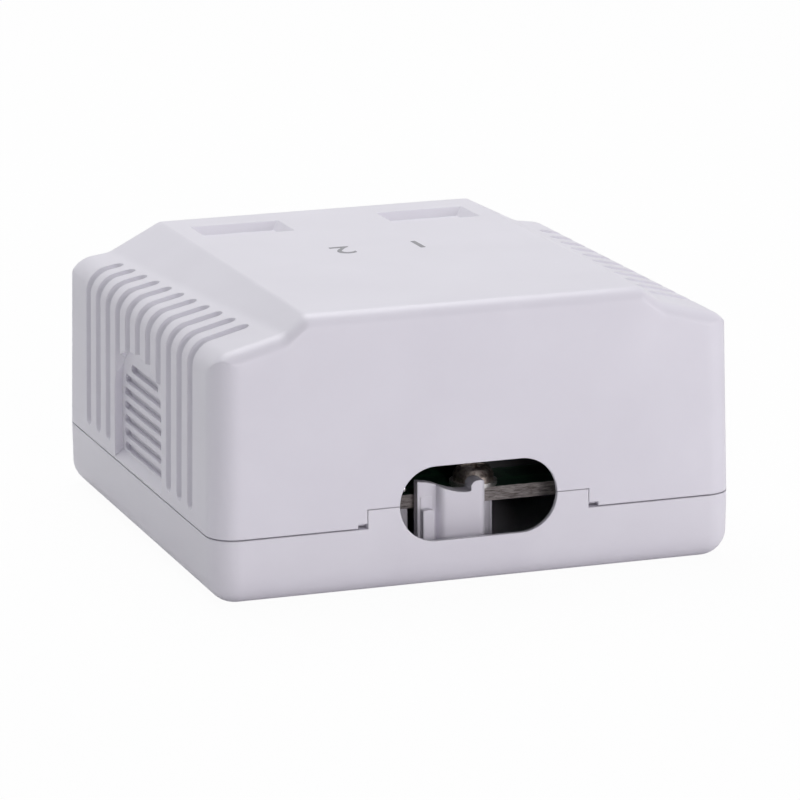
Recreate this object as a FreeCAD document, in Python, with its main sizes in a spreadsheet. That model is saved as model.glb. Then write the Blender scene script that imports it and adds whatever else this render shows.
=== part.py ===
# Surface mount jack box with two modular jacks: a base that screws to the wall, a
# lift-off cover, and a circuit board that joins each jack to two punch-down blocks.
# Millimetres. Origin at the middle of the base's underside, +Z away from the wall.
# The ports face -Y and the cable comes in through the +Y end.
import FreeCAD, Part
import math
import os
import re
import Sketcher

SIZES = [
    # name, value, what it sets
    ("box_width", 62.0, "width across the sides at the seam"),
    ("box_length", 60.8, "length from the port end to the cable end at the seam"),
    ("wall", 2.0, "side and end walls"),
    ("corner_radius", 3.3, "upright corners in plan"),
    # base
    ("seam_height", 7.65, "top of the base walls"),
    ("base_draft", 0.011, "inward lean of the base walls per mm downwards"),
    ("foot_radius", 3.1, "rounding around the underside"),
    ("floor_thickness", 2.0, "floor of the base"),
    # cover
    ("seam_gap", 0.16, "height of the joint line between base and cover"),
    ("cover_draft", 0.0175, "inward lean of the cover walls per mm upwards"),
    ("roof", 2.0, "thickness of the cover's roof, measured upright"),
    ("shoulder_height_cable", 28.2, "outer corner of the shoulder at the cable end"),
    ("shoulder_height_port", 27.6, "outer corner of the shoulder at the port end"),
    ("foot_height_cable", 30.4, "foot of the slope at the cable end"),
    ("foot_height_port", 28.2, "foot of the slope at the port end"),
    ("foot_half_cable", 22.24, "foot of the slope from the middle, cable end"),
    ("foot_half_port", 26.0, "foot of the slope from the middle, port end"),
    ("plateau_height_cable", 32.35, "flat top at the cable end"),
    ("plateau_height_port", 31.5, "flat top at the port end"),
    ("plateau_half_cable", 19.74, "edge of the flat top from the middle, cable end"),
    ("plateau_half_port", 19.5, "edge of the flat top from the middle, port end"),
    ("shoulder_radius", 3.0, "rounding of the shoulder's outer edge"),
    ("foot_blend", 3.0, "hollow blend at the foot of the slope"),
    ("plateau_radius", 1.0, "rounding of the flat top's side edges"),
    ("end_radius_cable", 2.0, "rounding of the roof into the cable end"),
    ("end_radius_port", 3.0, "rounding of the roof into the port end"),
    ("label_inner", 6.0, "near edge of a label recess from the middle"),
    ("label_outer", 17.3, "far edge of a label recess from the middle"),
    ("label_back", 6.4, "label recess from the port end"),
    ("label_depth_y", 7.6, "label recess along the box"),
    ("label_depth", 0.55, "depth of a label recess"),
    ("label_slope", 0.9, "sloping walls of a label recess, in plan"),
    ("label_above", 0.3, "cutter of a label recess above the flat top"),
    # side grooves and knock-out panels
    ("groove_count", 11, "grooves on each side"),
    ("groove_pitch", 4.12, "spacing of the side grooves"),
    ("side_middle", 0.6, "middle of the grooves and panels towards the cable end"),
    ("groove_radius", 1.05, "section of a side groove"),
    ("groove_rise", 0.3, "middle of a groove's section outside the wall"),
    ("groove_start", 1.5, "lowest point of a groove above the seam"),
    ("groove_margin", 2.0, "plain strip between the groove ends and the slope"),
    ("panel_half", 9.5, "half width of a knock-out panel"),
    ("panel_height", 14.5, "crown of a knock-out panel above the seam"),
    ("panel_crown", 21.0, "radius of the crown"),
    ("panel_corner", 5.0, "radius of the panel's shoulders"),
    ("panel_depth", 1.05, "depth of a knock-out panel below the wall"),
    ("panel_lip", 1.2, "slope that brings a panel out to the wall at the seam"),
    ("panel_foot", 0.25, "upright edge of that slope"),
    ("slat_count", 7, "slots in a knock-out panel"),
    ("slat_pitch", 1.65, "spacing of the slots"),
    ("slat_radius", 0.48, "half width of a slot"),
    ("slat_first", 1.95, "lowest slot above the seam"),
    ("slat_depth", 0.6, "depth of a slot below the panel"),
    ("slat_margin", 1.0, "plain rim beside the slots"),
    # cable entry
    ("entry_half", 9.35, "half length of the cable entry"),
    ("entry_radius", 4.3, "half height of the cable entry"),
    ("entry_web", 0.6, "thinned wall around the cable entry"),
    ("entry_relief", 1.6, "thinned strip around the cable entry"),
    ("tongue_half", 13.1, "half width of the tongue below the cable entry"),
    ("tongue_rise", 2.15, "height of the tongue above the seam"),
    ("tongue_gap", 0.08, "clearance around the tongue"),
    ("pry_width", 1.1, "pry notch beside the tongue"),
    ("pry_height", 0.45, "height of a pry notch"),
    # board and its supports
    ("board_half", 26.0, "half width of the circuit board"),
    ("board_cable_gap", 4.4, "board to the end wall, cable side"),
    ("board_port_gap", 1.4, "board to the end wall, port side"),
    ("board_thickness", 1.6, "circuit board"),
    ("board_height", 7.75, "underside of the board"),
    ("screw_side", 2.4, "rear screw from the middle line"),
    ("screw_rear_inset", 2.2, "rear screw from the board's cable-side edge"),
    ("screw_front_inset", 13.0, "front screw from the board's port-side edge"),
    ("boss_radius", 2.1, "screw boss"),
    ("pilot_radius", 1.25, "pilot hole in a boss"),
    ("pilot_clearance", 0.05, "screw shank in its pilot hole"),
    ("screw_length", 6.5, "screw shank below the washer"),
    ("head_radius", 2.35, "screw head"),
    ("head_height", 1.7, "screw head"),
    ("recess_half", 1.45, "arms of the cross recess"),
    ("recess_width", 0.7, "width of the cross recess"),
    ("recess_depth", 1.1, "depth of the cross recess"),
    ("washer_radius", 2.75, "washer"),
    ("washer_thickness", 0.5, "washer"),
    ("screw_hole_clearance", 0.35, "screw shank in the washer and the board"),
    ("rib_thickness", 0.8, "ribs that carry the board"),
    ("rib_left", 3.75, "long rib from the middle line, -X side"),
    ("rib_right", 6.4, "long rib from the middle line, +X side"),
    ("rib_run", 8.0, "length of a long rib"),
    ("rib_set_back", 0.8, "rib end from the board's edge"),
    ("peg_side", 23.1, "locating peg from the middle line"),
    ("peg_inset", 7.0, "locating peg from the board's port-side edge"),
    ("peg_post_radius", 2.3, "post below a locating peg"),
    ("peg_radius", 1.4, "locating peg"),
    ("peg_clearance", 0.1, "locating peg in the board"),
    ("peg_rise", 0.9, "locating peg above the board"),
    # wall screws
    ("wall_slot_side", 23.5, "wall screw slot from the middle line"),
    ("wall_slot_y", 5.5, "wall screw slot towards the cable end"),
    ("wall_slot_radius", 2.1, "half width of a wall screw slot"),
    ("wall_slot_length", 7.0, "wall screw slot, end to end"),
    ("notch_radius", 4.2, "screwdriver notch in the board's edge"),
    # strain relief post
    ("post_left", 2.2, "post from the middle line, -X side"),
    ("post_right", 5.75, "post from the middle line, +X side"),
    ("post_inset", 3.5, "front of the post behind the end wall's face"),
    ("post_plate", 1.2, "thickness of the post's plate"),
    ("post_top", 11.25, "top of the post"),
    ("column_width", 5.7, "rounded column of the post"),
    ("column_depth", 1.0, "column in front of the plate"),
    ("column_radius", 0.95, "rounding of the column"),
    ("column_top_radius", 0.4, "rounding of the column's top"),
    ("notch_floor", 9.85, "floor of the tie notch"),
    ("notch_flat", 0.65, "level part of the notch beside the prong"),
    ("notch_low_run", 3.9, "foot of the notch's slope from the post's side"),
    ("notch_low_rise", 0.25, "foot of the notch's slope above its floor"),
    ("notch_high_run", 1.9, "head of the notch's slope from the post's side"),
    ("notch_high_drop", 0.35, "head of the notch's slope below the post's top"),
    ("prong_width", 1.85, "prong beside the tie notch"),
    ("prong_top", 11.1, "top of the prong"),
    ("post_rib_width", 1.3, "upright rib on the post"),
    ("post_rib_inset", 0.35, "rib from the post's side"),
    ("post_rib_drop", 1.7, "back of the rib below the post's top"),
    ("post_rib_fall", 0.7, "front of the rib below its back"),
    # snap hooks
    ("hook_width", 5.0, "snap hook"),
    ("hook_thickness", 1.1, "snap hook"),
    ("hook_gap", 0.75, "hook to cover wall"),
    ("hook_top", 13.4, "top of a snap hook"),
    ("hook_inset", 13.4, "snap hooks from the ends"),
    ("barb", 0.45, "reach of a hook's barb"),
    ("barb_height", 1.1, "height of a hook's barb"),
    ("catch_gap", 0.06, "barb to catch, sideways"),
    ("catch_height", 1.0, "height of the catch on the cover"),
    # locating ribs on the end walls
    ("locator_half", 3.0, "half length of a locating rib"),
    ("locator_side", 20.5, "locating rib from the middle line"),
    ("locator_thickness", 1.0, "locating rib"),
    ("locator_rise", 1.5, "locating rib above the seam"),
    ("locator_gap", 0.12, "locating rib to cover wall"),
    # jacks
    ("port_offset", 12.0, "middle of a port from the middle line"),
    ("jack_gap", 0.4, "jack face behind the port wall"),
    ("jack_width", 15.9, "jack housing"),
    ("jack_height", 13.4, "jack housing"),
    ("jack_depth", 20.0, "jack housing"),
    ("plug_width", 11.9, "plug opening"),
    ("plug_floor", 4.75, "floor of the plug opening above the board"),
    ("plug_height", 6.9, "plug opening"),
    ("plug_depth", 12.6, "plug opening"),
    ("latch_width", 6.3, "latch step below the plug opening"),
    ("latch_height", 1.5, "latch step"),
    ("key_width", 3.3, "narrow step below the latch step"),
    ("key_height", 1.0, "narrow step"),
    ("jack_back_wall", 1.0, "wall behind the plug opening"),
    ("channel_width", 0.6, "channels for the contacts"),
    ("channel_height", 0.85, "channels for the contacts"),
    ("channel_front", 1.3, "channel end behind the jack face"),
    ("window_margin", 0.65, "port window around the plug opening"),
    ("jack_peg_side", 5.7, "jack peg from the port's middle"),
    ("jack_peg_back", 9.0, "jack peg behind the jack face"),
    ("jack_peg_radius", 1.2, "jack peg"),
    # contacts and carrier
    ("contact_pitch", 1.02, "jack contacts"),
    ("contact_width", 0.45, "jack contact"),
    ("contact_thickness", 0.3, "jack contact"),
    ("contact_top", 0.35, "contact run below the channel's roof"),
    ("contact_dip", 2.55, "free tip of a contact below the plug roof"),
    ("tip_back", 10.8, "free tip of a contact behind the jack face"),
    ("bend_front", 1.9, "front bend of a contact behind the jack face"),
    ("pin_row", 1.1, "rear pin row from the back of the jack"),
    ("pin_row_step", 2.54, "second pin row in front of the rear one"),
    ("pin_below", 1.1, "pins below the board"),
    ("pin_hole_radius", 0.42, "holes for the jack contacts"),
    ("carrier_gap", 0.1, "carrier in its housing"),
    ("carrier_top_gap", 0.25, "carrier below the contact runs"),
    # punch-down blocks
    ("block_width", 15.8, "punch-down block"),
    ("block_depth", 7.6, "punch-down block at the board"),
    ("block_top_depth", 4.4, "punch-down block at its top"),
    ("block_height", 12.2, "punch-down block"),
    ("block_jack_gap", 2.7, "front pair of blocks behind the jacks"),
    ("block_edge_gap", 7.7, "rear pair of blocks from the board's cable-side edge"),
    ("block_pitch", 3.9, "wire slots of a block"),
    ("block_ways", 4, "wire slots of a block"),
    ("wire_slot", 1.1, "width of a wire slot"),
    ("wire_slot_depth", 6.4, "depth of a wire slot"),
    ("fork_width", 3.0, "punch-down contact"),
    ("fork_thickness", 0.5, "punch-down contact"),
    ("fork_clearance", 0.06, "punch-down contact in its chamber"),
    ("fork_below_top", 1.4, "contact below the block's top"),
    ("fork_slit", 0.34, "slit between the tines"),
    ("fork_slit_depth", 5.2, "slit between the tines"),
    ("fork_mouth", 1.3, "mouth of the slit"),
    ("tail_half", 0.35, "half width of a contact's tail"),
    ("tail_hole_radius", 0.55, "holes for the punch-down contacts"),
    # what the cover presses on
    ("press_gap", 0.3, "hold-down ribs above what they hold"),
    ("press_thickness", 1.2, "hold-down ribs"),
    ("press_post_x", 3.0, "hold-down post beside the rear screw, -X side"),
    ("press_post_ahead", 4.2, "hold-down post ahead of the rear screw"),
]

SIZE = {name: value for name, value, _ in SIZES}
WORD = re.compile(r"[a-z][a-z_]*")

doc = FreeCAD.newDocument("jack_box")
sheet = doc.addObject("Spreadsheet::Sheet", "Sizes")
for row, (name, value, note) in enumerate(SIZES, 1):
    sheet.set(f"A{row}", name)
    sheet.set(f"B{row}", str(value))
    sheet.setAlias(f"B{row}", name)
    sheet.set(f"C{row}", note)
doc.recompute()


def bound(text):
    """The expression with every size's name pointed at its cell."""
    return WORD.sub(lambda m: "Sizes." + m.group() if m.group() in SIZE else m.group(), text)


# Heights and places that several pieces share
SEAM = "seam_height"
COVER_FLOOR = "(seam_height + seam_gap)"
HALF_X = "(box_width / 2)"
HALF_Y = "(box_length / 2)"
INNER_X = "(box_width / 2 - wall)"
INNER_Y = "(box_length / 2 - wall)"
BOARD_TOP = "(board_height + board_thickness)"
ENTRY_Z = "(seam_height + tongue_rise)"
JACK_FACE = "(wall + jack_gap - box_length / 2)"
JACK_BACK = "(wall + jack_gap + jack_depth - box_length / 2)"
PLUG_ROOF = "(board_height + board_thickness + plug_floor + plug_height)"
PLUG_FLOOR = "(board_height + board_thickness + plug_floor)"
END_STEPS = 7  # sections in the rolled-over end of the roof
BOARD_PORT = "(wall + board_port_gap - box_length / 2)"
BOARD_CABLE = "(box_length / 2 - wall - board_cable_gap)"
SCREW_REAR = f"({BOARD_CABLE} - screw_rear_inset)"
SCREW_FRONT = f"({BOARD_PORT} + screw_front_inset)"
PEG_Y = f"({BOARD_PORT} + peg_inset)"
HOOK_Y = "(box_length / 2 - hook_inset)"
BLOCK_FRONT = f"({JACK_BACK} + block_jack_gap + block_depth / 2)"
BLOCK_REAR = f"({BOARD_CABLE} - block_edge_gap - block_depth / 2)"


# ---------------------------------------------------------------- helpers
def new_body(label, x="0", y="0", z="0"):
    """An empty body, set at x, y, z."""
    body = doc.addObject("PartDesign::Body", label)
    for axis, text in zip("xyz", (x, y, z)):
        body.setExpression(f"Placement.Base.{axis}", bound(text))
    return body


def new_sketch(body, name, plane, at):
    """A sketch on one of the body's origin planes, moved out along its normal."""
    drawing = body.newObject("Sketcher::SketchObject", name)
    origin_plane = [o for o in body.Origin.OriginFeatures if o.Role == plane][0]
    drawing.AttachmentSupport = [(origin_plane, "")]
    drawing.MapMode = "FlatFace"
    drawing.setExpression("AttachmentOffset.Base.z", bound(at))
    return drawing


def tie(drawing, kind, *where, to):
    """A dimension of the sketch that follows an expression."""
    number = drawing.addConstraint(Sketcher.Constraint(kind, *where))
    drawing.setExpression(f"Constraints[{number}]", bound(to))


def outline(body, name, plane, at, points, closed=True):
    """Straight lines through points whose two coordinates are expressions."""
    drawing = new_sketch(body, name, plane, at)
    turn = [2 * math.pi * k / len(points) for k in range(len(points))]
    start = [FreeCAD.Vector(math.cos(a), math.sin(a), 0) for a in turn]
    sides = len(points) if closed else len(points) - 1
    for k in range(sides):
        drawing.addGeometry(Part.LineSegment(start[k], start[(k + 1) % len(points)]), False)
    for k in range(sides if closed else sides - 1):
        drawing.addConstraint(Sketcher.Constraint("Coincident", k, 2, (k + 1) % sides, 1))
    for k, (across, up) in enumerate(points):
        line, end = (k, 1) if k < sides else (k - 1, 2)
        tie(drawing, "DistanceX", -1, 1, line, end, start[k].x, to=across)
        tie(drawing, "DistanceY", -1, 1, line, end, start[k].y, to=up)
    return drawing


def rectangle(body, name, plane, at, left, right, low, high):
    corners = [(left, low), (right, low), (right, high), (left, high)]
    return outline(body, name, plane, at, corners)


def discs(body, name, plane, at, centres, radius):
    """Equal circles in one sketch."""
    drawing = new_sketch(body, name, plane, at)
    for k, (across, up) in enumerate(centres):
        centre = FreeCAD.Vector(3 * k, 0, 0)
        drawing.addGeometry(Part.Circle(centre, FreeCAD.Vector(0, 0, 1), 1), False)
        tie(drawing, "DistanceX", -1, 1, k, 3, 3.0 * k, to=across)
        tie(drawing, "DistanceY", -1, 1, k, 3, 0.0, to=up)
        tie(drawing, "Radius", k, 1.0, to=radius)
    return drawing


def obrounds(body, name, plane, at, slots, radius):
    """Lying slots in one sketch: each has a middle and a half length to its ends."""
    drawing = new_sketch(body, name, plane, at)
    up = FreeCAD.Vector(0, 0, 1)
    for number, (middle, height, half) in enumerate(slots):
        right, top, left, low = [4 * number + k for k in range(4)]
        base = 3.0 * number
        ends = [FreeCAD.Vector(5, base, 0), FreeCAD.Vector(-5, base, 0)]
        circles = [Part.Circle(end, up, 1) for end in ends]
        drawing.addGeometry(Part.ArcOfCircle(circles[0], -math.pi / 2, math.pi / 2), False)
        drawing.addGeometry(Part.LineSegment(FreeCAD.Vector(5, base + 1, 0),
                                             FreeCAD.Vector(-5, base + 1, 0)), False)
        drawing.addGeometry(Part.ArcOfCircle(circles[1], math.pi / 2, 1.5 * math.pi), False)
        drawing.addGeometry(Part.LineSegment(FreeCAD.Vector(-5, base - 1, 0),
                                             FreeCAD.Vector(5, base - 1, 0)), False)
        for one, end, other, start in ((right, 2, top, 1), (top, 2, left, 1),
                                       (left, 2, low, 1), (low, 2, right, 1)):
            drawing.addConstraint(Sketcher.Constraint("Tangent", one, end, other, start))
        for arc, sign in ((right, "+"), (left, "-")):
            tie(drawing, "DistanceX", -1, 1, arc, 3, 5.0 if sign == "+" else -5.0,
                to=f"{middle} {sign} ({half} - {radius})")
            tie(drawing, "DistanceY", -1, 1, arc, 3, base, to=height)
        drawing.addConstraint(Sketcher.Constraint("Equal", right, left))
        tie(drawing, "Radius", right, 1.0, to=radius)
    return drawing


def feature(body, kind, name, drawing, **bindings):
    """A PartDesign feature of one sketch with its properties bound to expressions."""
    made = body.newObject("PartDesign::" + kind, name)
    made.Profile = drawing
    for key, text in bindings.items():
        made.setExpression(key, bound(text))
    return made


def pad(body, name, drawing, length, both=False, back=False):
    made = feature(body, "Pad", name, drawing, Length=length)
    made.SideType = "Symmetric" if both else "One side"
    made.Reversed = back
    return made


def pocket(body, name, drawing, length, both=False, back=False):
    made = feature(body, "Pocket", name, drawing, Length=length)
    made.SideType = "Symmetric" if both else "One side"
    made.Reversed = back
    return made


def loft(body, kind, name, first, last):
    made = body.newObject("PartDesign::" + kind, name)
    made.Profile = first
    made.Sections = [last]
    made.Ruled = True
    return made


def fillet(body, name, base, chosen, radius):
    """A fillet on the edges of base that the test picks."""
    doc.recompute()
    names = [f"Edge{k}" for k, edge in enumerate(base.Shape.Edges, 1) if chosen(edge)]
    made = body.newObject("PartDesign::Fillet", name)
    made.Base = (base, names)
    made.setExpression("Radius", bound(radius))
    return made


def pattern(body, name, originals, role, count, length, back=False):
    """Copies of features along one of the body's axes, first to last over length."""
    made = body.newObject("PartDesign::LinearPattern", name)
    axis = [o for o in body.Origin.OriginFeatures if o.Role == role][0]
    made.Originals = originals
    made.Direction = (axis, [""])
    made.Reversed = back
    made.setExpression("Occurrences", bound(count))
    made.setExpression("Length", bound(length))
    body.Tip = made
    return made


def mirrored(body, name, originals, role):
    made = body.newObject("PartDesign::Mirrored", name)
    plane = [o for o in body.Origin.OriginFeatures if o.Role == role][0]
    made.Originals = originals
    made.MirrorPlane = (plane, [""])
    body.Tip = made
    return made


def middle(edge):
    return edge.valueAt((edge.FirstParameter + edge.LastParameter) / 2)


def direction(edge):
    run = edge.valueAt(edge.LastParameter) - edge.valueAt(edge.FirstParameter)
    return run.normalize() if run.Length > 0 else run


def upright(edge):
    return abs(direction(edge).z) > 0.99


# ---------------------------------------------------------------- base
def plan(body, name, height, inset):
    """The box's plan rectangle at a height, drawn in by an inset."""
    return rectangle(body, name, "XY_Plane", height, f"{inset} - {HALF_X}", f"{HALF_X} - {inset}",
                     f"{inset} - {HALF_Y}", f"{HALF_Y} - {inset}")


def make_base():
    body = new_body("base_shell")
    sole = plan(body, "sole", "0", "base_draft * seam_height")
    rim = plan(body, "rim", SEAM, "0")
    tray = loft(body, "AdditiveLoft", "tray", rim, sole)
    corners = fillet(body, "tray_corners", tray, upright, "corner_radius")
    foot = fillet(body, "foot_rounding", corners, lambda e: e.BoundBox.ZMax < 0.01, "foot_radius")
    inside = rectangle(body, "inside", "XY_Plane", SEAM, f"-{INNER_X}", INNER_X,
                       f"-{INNER_Y}", INNER_Y)
    pocket(body, "tray_hollow", inside, "seam_height - floor_thickness")

    tongue = outline(body, "tongue_side", "YZ_Plane", "0",
                     [(INNER_Y, "floor_thickness / 2"), (f"{HALF_Y} - wall / 2", "floor_thickness / 2 + wall"),
                      (HALF_Y, SEAM), (f"{HALF_Y} - cover_draft * tongue_rise", ENTRY_Z),
                      (INNER_Y, ENTRY_Z)])
    pad(body, "tongue", tongue, "2 * tongue_half", both=True)
    entry = obrounds(body, "entry", "XZ_Plane", f"-{HALF_Y} - 1",
                     [("0", ENTRY_Z, "entry_half")], "entry_radius")
    pocket(body, "cable_entry", entry, "wall + 2", back=True)
    thin_entry(body)

    boss_height = "board_height - floor_thickness"
    screws = [("-screw_side", SCREW_REAR), ("0", SCREW_FRONT)]
    bosses = discs(body, "boss_plan", "XY_Plane", "floor_thickness", screws, "boss_radius")
    pad(body, "screw_bosses", bosses, boss_height)
    for side, place in (("left", "-rib_left"), ("right", "rib_right")):
        rib = rectangle(body, f"rib_{side}_plan", "XY_Plane", "floor_thickness",
                        f"{place} - rib_thickness / 2", f"{place} + rib_thickness / 2",
                        f"{BOARD_CABLE} - rib_set_back - rib_run", f"{BOARD_CABLE} - rib_set_back")
        pad(body, f"rib_{side}", rib, boss_height)
    cross = rectangle(body, "cross_rib_plan", "XY_Plane", "floor_thickness",
                      "-peg_side", "peg_side",
                      f"{BOARD_PORT} + 2 * rib_set_back", f"{BOARD_PORT} + 2 * rib_set_back + rib_thickness")
    pad(body, "cross_rib", cross, boss_height)
    pegs = [("-peg_side", PEG_Y), ("peg_side", PEG_Y)]
    posts = discs(body, "peg_post_plan", "XY_Plane", "floor_thickness", pegs, "peg_post_radius")
    pad(body, "peg_posts", posts, boss_height)
    tips = discs(body, "peg_plan", "XY_Plane", "board_height", pegs, "peg_radius")
    pad(body, "pegs", tips, "board_thickness + peg_rise")
    pilots = discs(body, "pilot_plan", "XY_Plane", "board_height", screws, "pilot_radius")
    pocket(body, "pilot_holes", pilots, boss_height)

    make_strain_post(body)
    make_hooks(body)
    for end in ("", "-"):
        for side in ("", "-"):
            make_locator(body, side, end)
    slots = obrounds(body, "wall_slot_plan", "XY_Plane", "floor_thickness + 1",
                     [("-wall_slot_side", "wall_slot_y", "(wall_slot_length / 2)"),
                      ("wall_slot_side", "wall_slot_y", "(wall_slot_length / 2)")], "wall_slot_radius")
    pocket(body, "wall_slots", slots, "floor_thickness + 2")
    return body


def thin_entry(body):
    """A relief inside the end wall that leaves a thin edge around the cable entry."""
    relief = obrounds(body, "entry_relief_plan", "XZ_Plane", f"-{INNER_Y}",
                      [("0", ENTRY_Z, "(entry_half + entry_relief)")], "(entry_radius + entry_relief)")
    pocket(body, "entry_relief", relief, "wall - entry_web")


def make_strain_post(body):
    """A notched plate with a rounded column, which a cable tie grips."""
    front = f"{HALF_Y} - post_inset - column_depth"
    plate = rectangle(body, "post_plan", "XY_Plane", "floor_thickness / 2", "-post_left",
                      "post_right", f"{front} - post_plate", front)
    pad(body, "post_plate", plate, "post_top - floor_thickness / 2")
    column = rectangle(body, "column_plan", "XY_Plane", "floor_thickness / 2", "-post_left",
                       "column_width - post_left", f"{front} - 0.1", f"{front} + column_depth")
    standing = pad(body, "column", column, "post_top - floor_thickness / 2")
    front_y = SIZE["box_length"] / 2 - SIZE["post_inset"]
    fillet(body, "column_rounding", standing,
           lambda e: upright(e) and abs(middle(e).y - front_y) < 0.01, "column_radius")
    prong_edge = "(prong_width - post_left)"
    slope = [(f"{prong_edge} + notch_flat", "notch_floor"),
             ("post_right - notch_low_run", "notch_floor + notch_low_rise"),
             ("post_right - notch_high_run", "post_top - notch_high_drop"),
             ("post_right", "post_top"), ("post_right + 1", "post_top"),
             ("post_right + 1", "post_top + 1")]
    tie_notch = outline(body, "tie_notch_front", "XZ_Plane", f"-{front} - column_depth - 1",
                        [(prong_edge, "notch_floor")] + slope + [(prong_edge, "post_top + 1")])
    pocket(body, "tie_notch", tie_notch, "post_plate + column_depth + 2", back=True)
    step = outline(body, "prong_step_front", "XZ_Plane", f"-{front} - column_depth - 1",
                   [("-post_left - 1", "notch_floor"), (f"{prong_edge} + 0.1", "notch_floor"),
                    (f"{prong_edge} + 0.1", "post_top + 1"), ("-post_left - 1", "post_top + 1")])
    pocket(body, "prong_step", step, "column_depth + 1", back=True)
    rib = outline(body, "post_rib_side", "YZ_Plane", "post_right - post_rib_inset",
                  [(f"{front} - 0.1", "floor_thickness / 2"),
                   (f"{front} + column_depth", "floor_thickness / 2"),
                   (f"{front} + column_depth", "post_top - post_rib_drop - post_rib_fall"),
                   (f"{front} - 0.1", "post_top - post_rib_drop")])
    pad(body, "post_rib", rib, "post_rib_width", back=True)


def make_hooks(body):
    """Four upright snap hooks beside the board."""
    outer = f"({INNER_X} - hook_gap)"
    for side, sign in (("left", "-"), ("right", "")):
        hook = outline(body, f"hook_{side}_front", "XZ_Plane", f"hook_width / 2 - {HOOK_Y}",
                       [(f"{sign}({outer} - hook_thickness)", "floor_thickness / 2"),
                        (f"{sign}{outer}", "floor_thickness / 2"),
                        (f"{sign}{outer}", "hook_top - 2 * barb_height"),
                        (f"{sign}({outer} + barb)", "hook_top - 2 * barb_height"),
                        (f"{sign}{outer}", "hook_top"),
                        (f"{sign}({outer} - hook_thickness)", "hook_top")])
        made = pad(body, f"hook_{side}", hook, "hook_width", back=True)
        mirrored(body, f"hook_{side}_front_pair", [made], "XZ_Plane")


def make_locator(body, side, end):
    """A short rib inside an end wall that centres the cover."""
    name = f"locator{'_left' if side else '_right'}{'_port' if end else '_cable'}"
    inner = f"({INNER_Y} - locator_gap)"
    drawing = rectangle(body, name + "_plan", "XY_Plane", "floor_thickness / 2",
                        f"{side}locator_side - locator_half", f"{side}locator_side + locator_half",
                        f"{end}({inner} - locator_thickness)", f"{end}{inner}")
    pad(body, name, drawing, "seam_height + locator_rise - floor_thickness / 2")


# ---------------------------------------------------------------- cover
def roof_section(body, name, end, distance, drop="0", inset="0", floor=COVER_FLOOR):
    """The cover's cross-section at one end: wall, shoulder, slope and flat top."""
    shoulder = f"shoulder_height_{end}"
    lean = f"(cover_draft * ({shoulder} - seam_height))"
    right = [(f"{HALF_X} - {inset}", floor),
             (f"{HALF_X} - {inset} - {lean}", f"{shoulder} - {drop}"),
             (f"foot_half_{end}", f"foot_height_{end} - {drop}"),
             (f"plateau_half_{end}", f"plateau_height_{end} - {drop}")]
    left = [(f"-({across})", up) for across, up in reversed(right)]
    return outline(body, name, "XZ_Plane", distance, right + left)


def rounded_wire(corners, radii):
    """A closed outline through corners, each with its own rounding; 0 leaves it sharp."""
    turns = []
    for k, (corner, radius) in enumerate(zip(corners, radii)):
        back = (corners[k - 1] - corner).normalize()
        on = (corners[(k + 1) % len(corners)] - corner).normalize()
        half = math.acos(back.dot(on)) / 2
        setback = radius / math.tan(half)
        crown = corner + (back + on).normalize() * (radius / math.sin(half) - radius)
        turns.append((corner + back * setback, crown, corner + on * setback))
    edges = []
    for k, (start, crown, stop) in enumerate(turns):
        if radii[k]:
            edges.append(Part.Arc(start, crown, stop).toShape())
        edges.append(Part.LineSegment(stop, turns[(k + 1) % len(turns)][0]).toShape())
    return Part.Wire(edges)


def roof_wire(y, drop):
    """The cover's rounded cross-section at y, its roof lowered by drop."""
    shoulder = along("shoulder_height_port", "shoulder_height_cable", y)
    half = SIZE["box_width"] / 2
    lean = SIZE["cover_draft"] * (shoulder - SIZE["seam_height"])
    right = [(half, SIZE["seam_height"] + SIZE["seam_gap"]),
             (half - lean, shoulder - drop),
             (along("foot_half_port", "foot_half_cable", y),
              along("foot_height_port", "foot_height_cable", y) - drop),
             (along("plateau_half_port", "plateau_half_cable", y),
              along("plateau_height_port", "plateau_height_cable", y) - drop)]
    radii = [0, SIZE["shoulder_radius"], SIZE["foot_blend"], SIZE["plateau_radius"]]
    corners = [FreeCAD.Vector(x, y, z) for x, z in right]
    corners += [FreeCAD.Vector(-x, y, z) for x, z in reversed(right)]
    return rounded_wire(corners, radii + radii[::-1])


def make_roof_form():
    """The cover seen from its end, run over its length and rolled over at both ends."""
    parts, starts = [], []
    for sign, end in ((1, "cable"), (-1, "port")):
        radius = SIZE[f"end_radius_{end}"]
        height = SIZE[f"shoulder_height_{end}"] - radius
        face = SIZE["box_length"] / 2 - SIZE["cover_draft"] * (height - SIZE["seam_height"])
        angles = [math.pi / 2 * k / END_STEPS for k in range(END_STEPS + 1)]
        sections = [roof_wire(sign * (face - radius + radius * math.sin(a)),
                              radius * (1 - math.cos(a))) for a in angles]
        beyond = sections[-1].copy()
        beyond.translate(FreeCAD.Vector(0, sign, 0))
        parts += [Part.makeLoft(sections, True, False),
                  Part.makeLoft([sections[-1], beyond], True, True)]
        starts.append(sections[0])
    form = doc.addObject("Part::Feature", "roof_form")
    form.Shape = Part.makeLoft(starts, True, True).multiFuse(parts)
    return form


def make_plan_form():
    """The cover seen from above: a drafted block with rounded upright corners."""
    body = new_body("plan_form")
    top = "(plateau_height_cable + 3)"
    low = plan(body, "plan_low", COVER_FLOOR, "(cover_draft * seam_gap)")
    high = plan(body, "plan_high", top, f"(cover_draft * ({top} - seam_height))")
    block = loft(body, "AdditiveLoft", "plan_block", high, low)
    fillet(body, "plan_corners", block, upright, "corner_radius")
    return body


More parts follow.
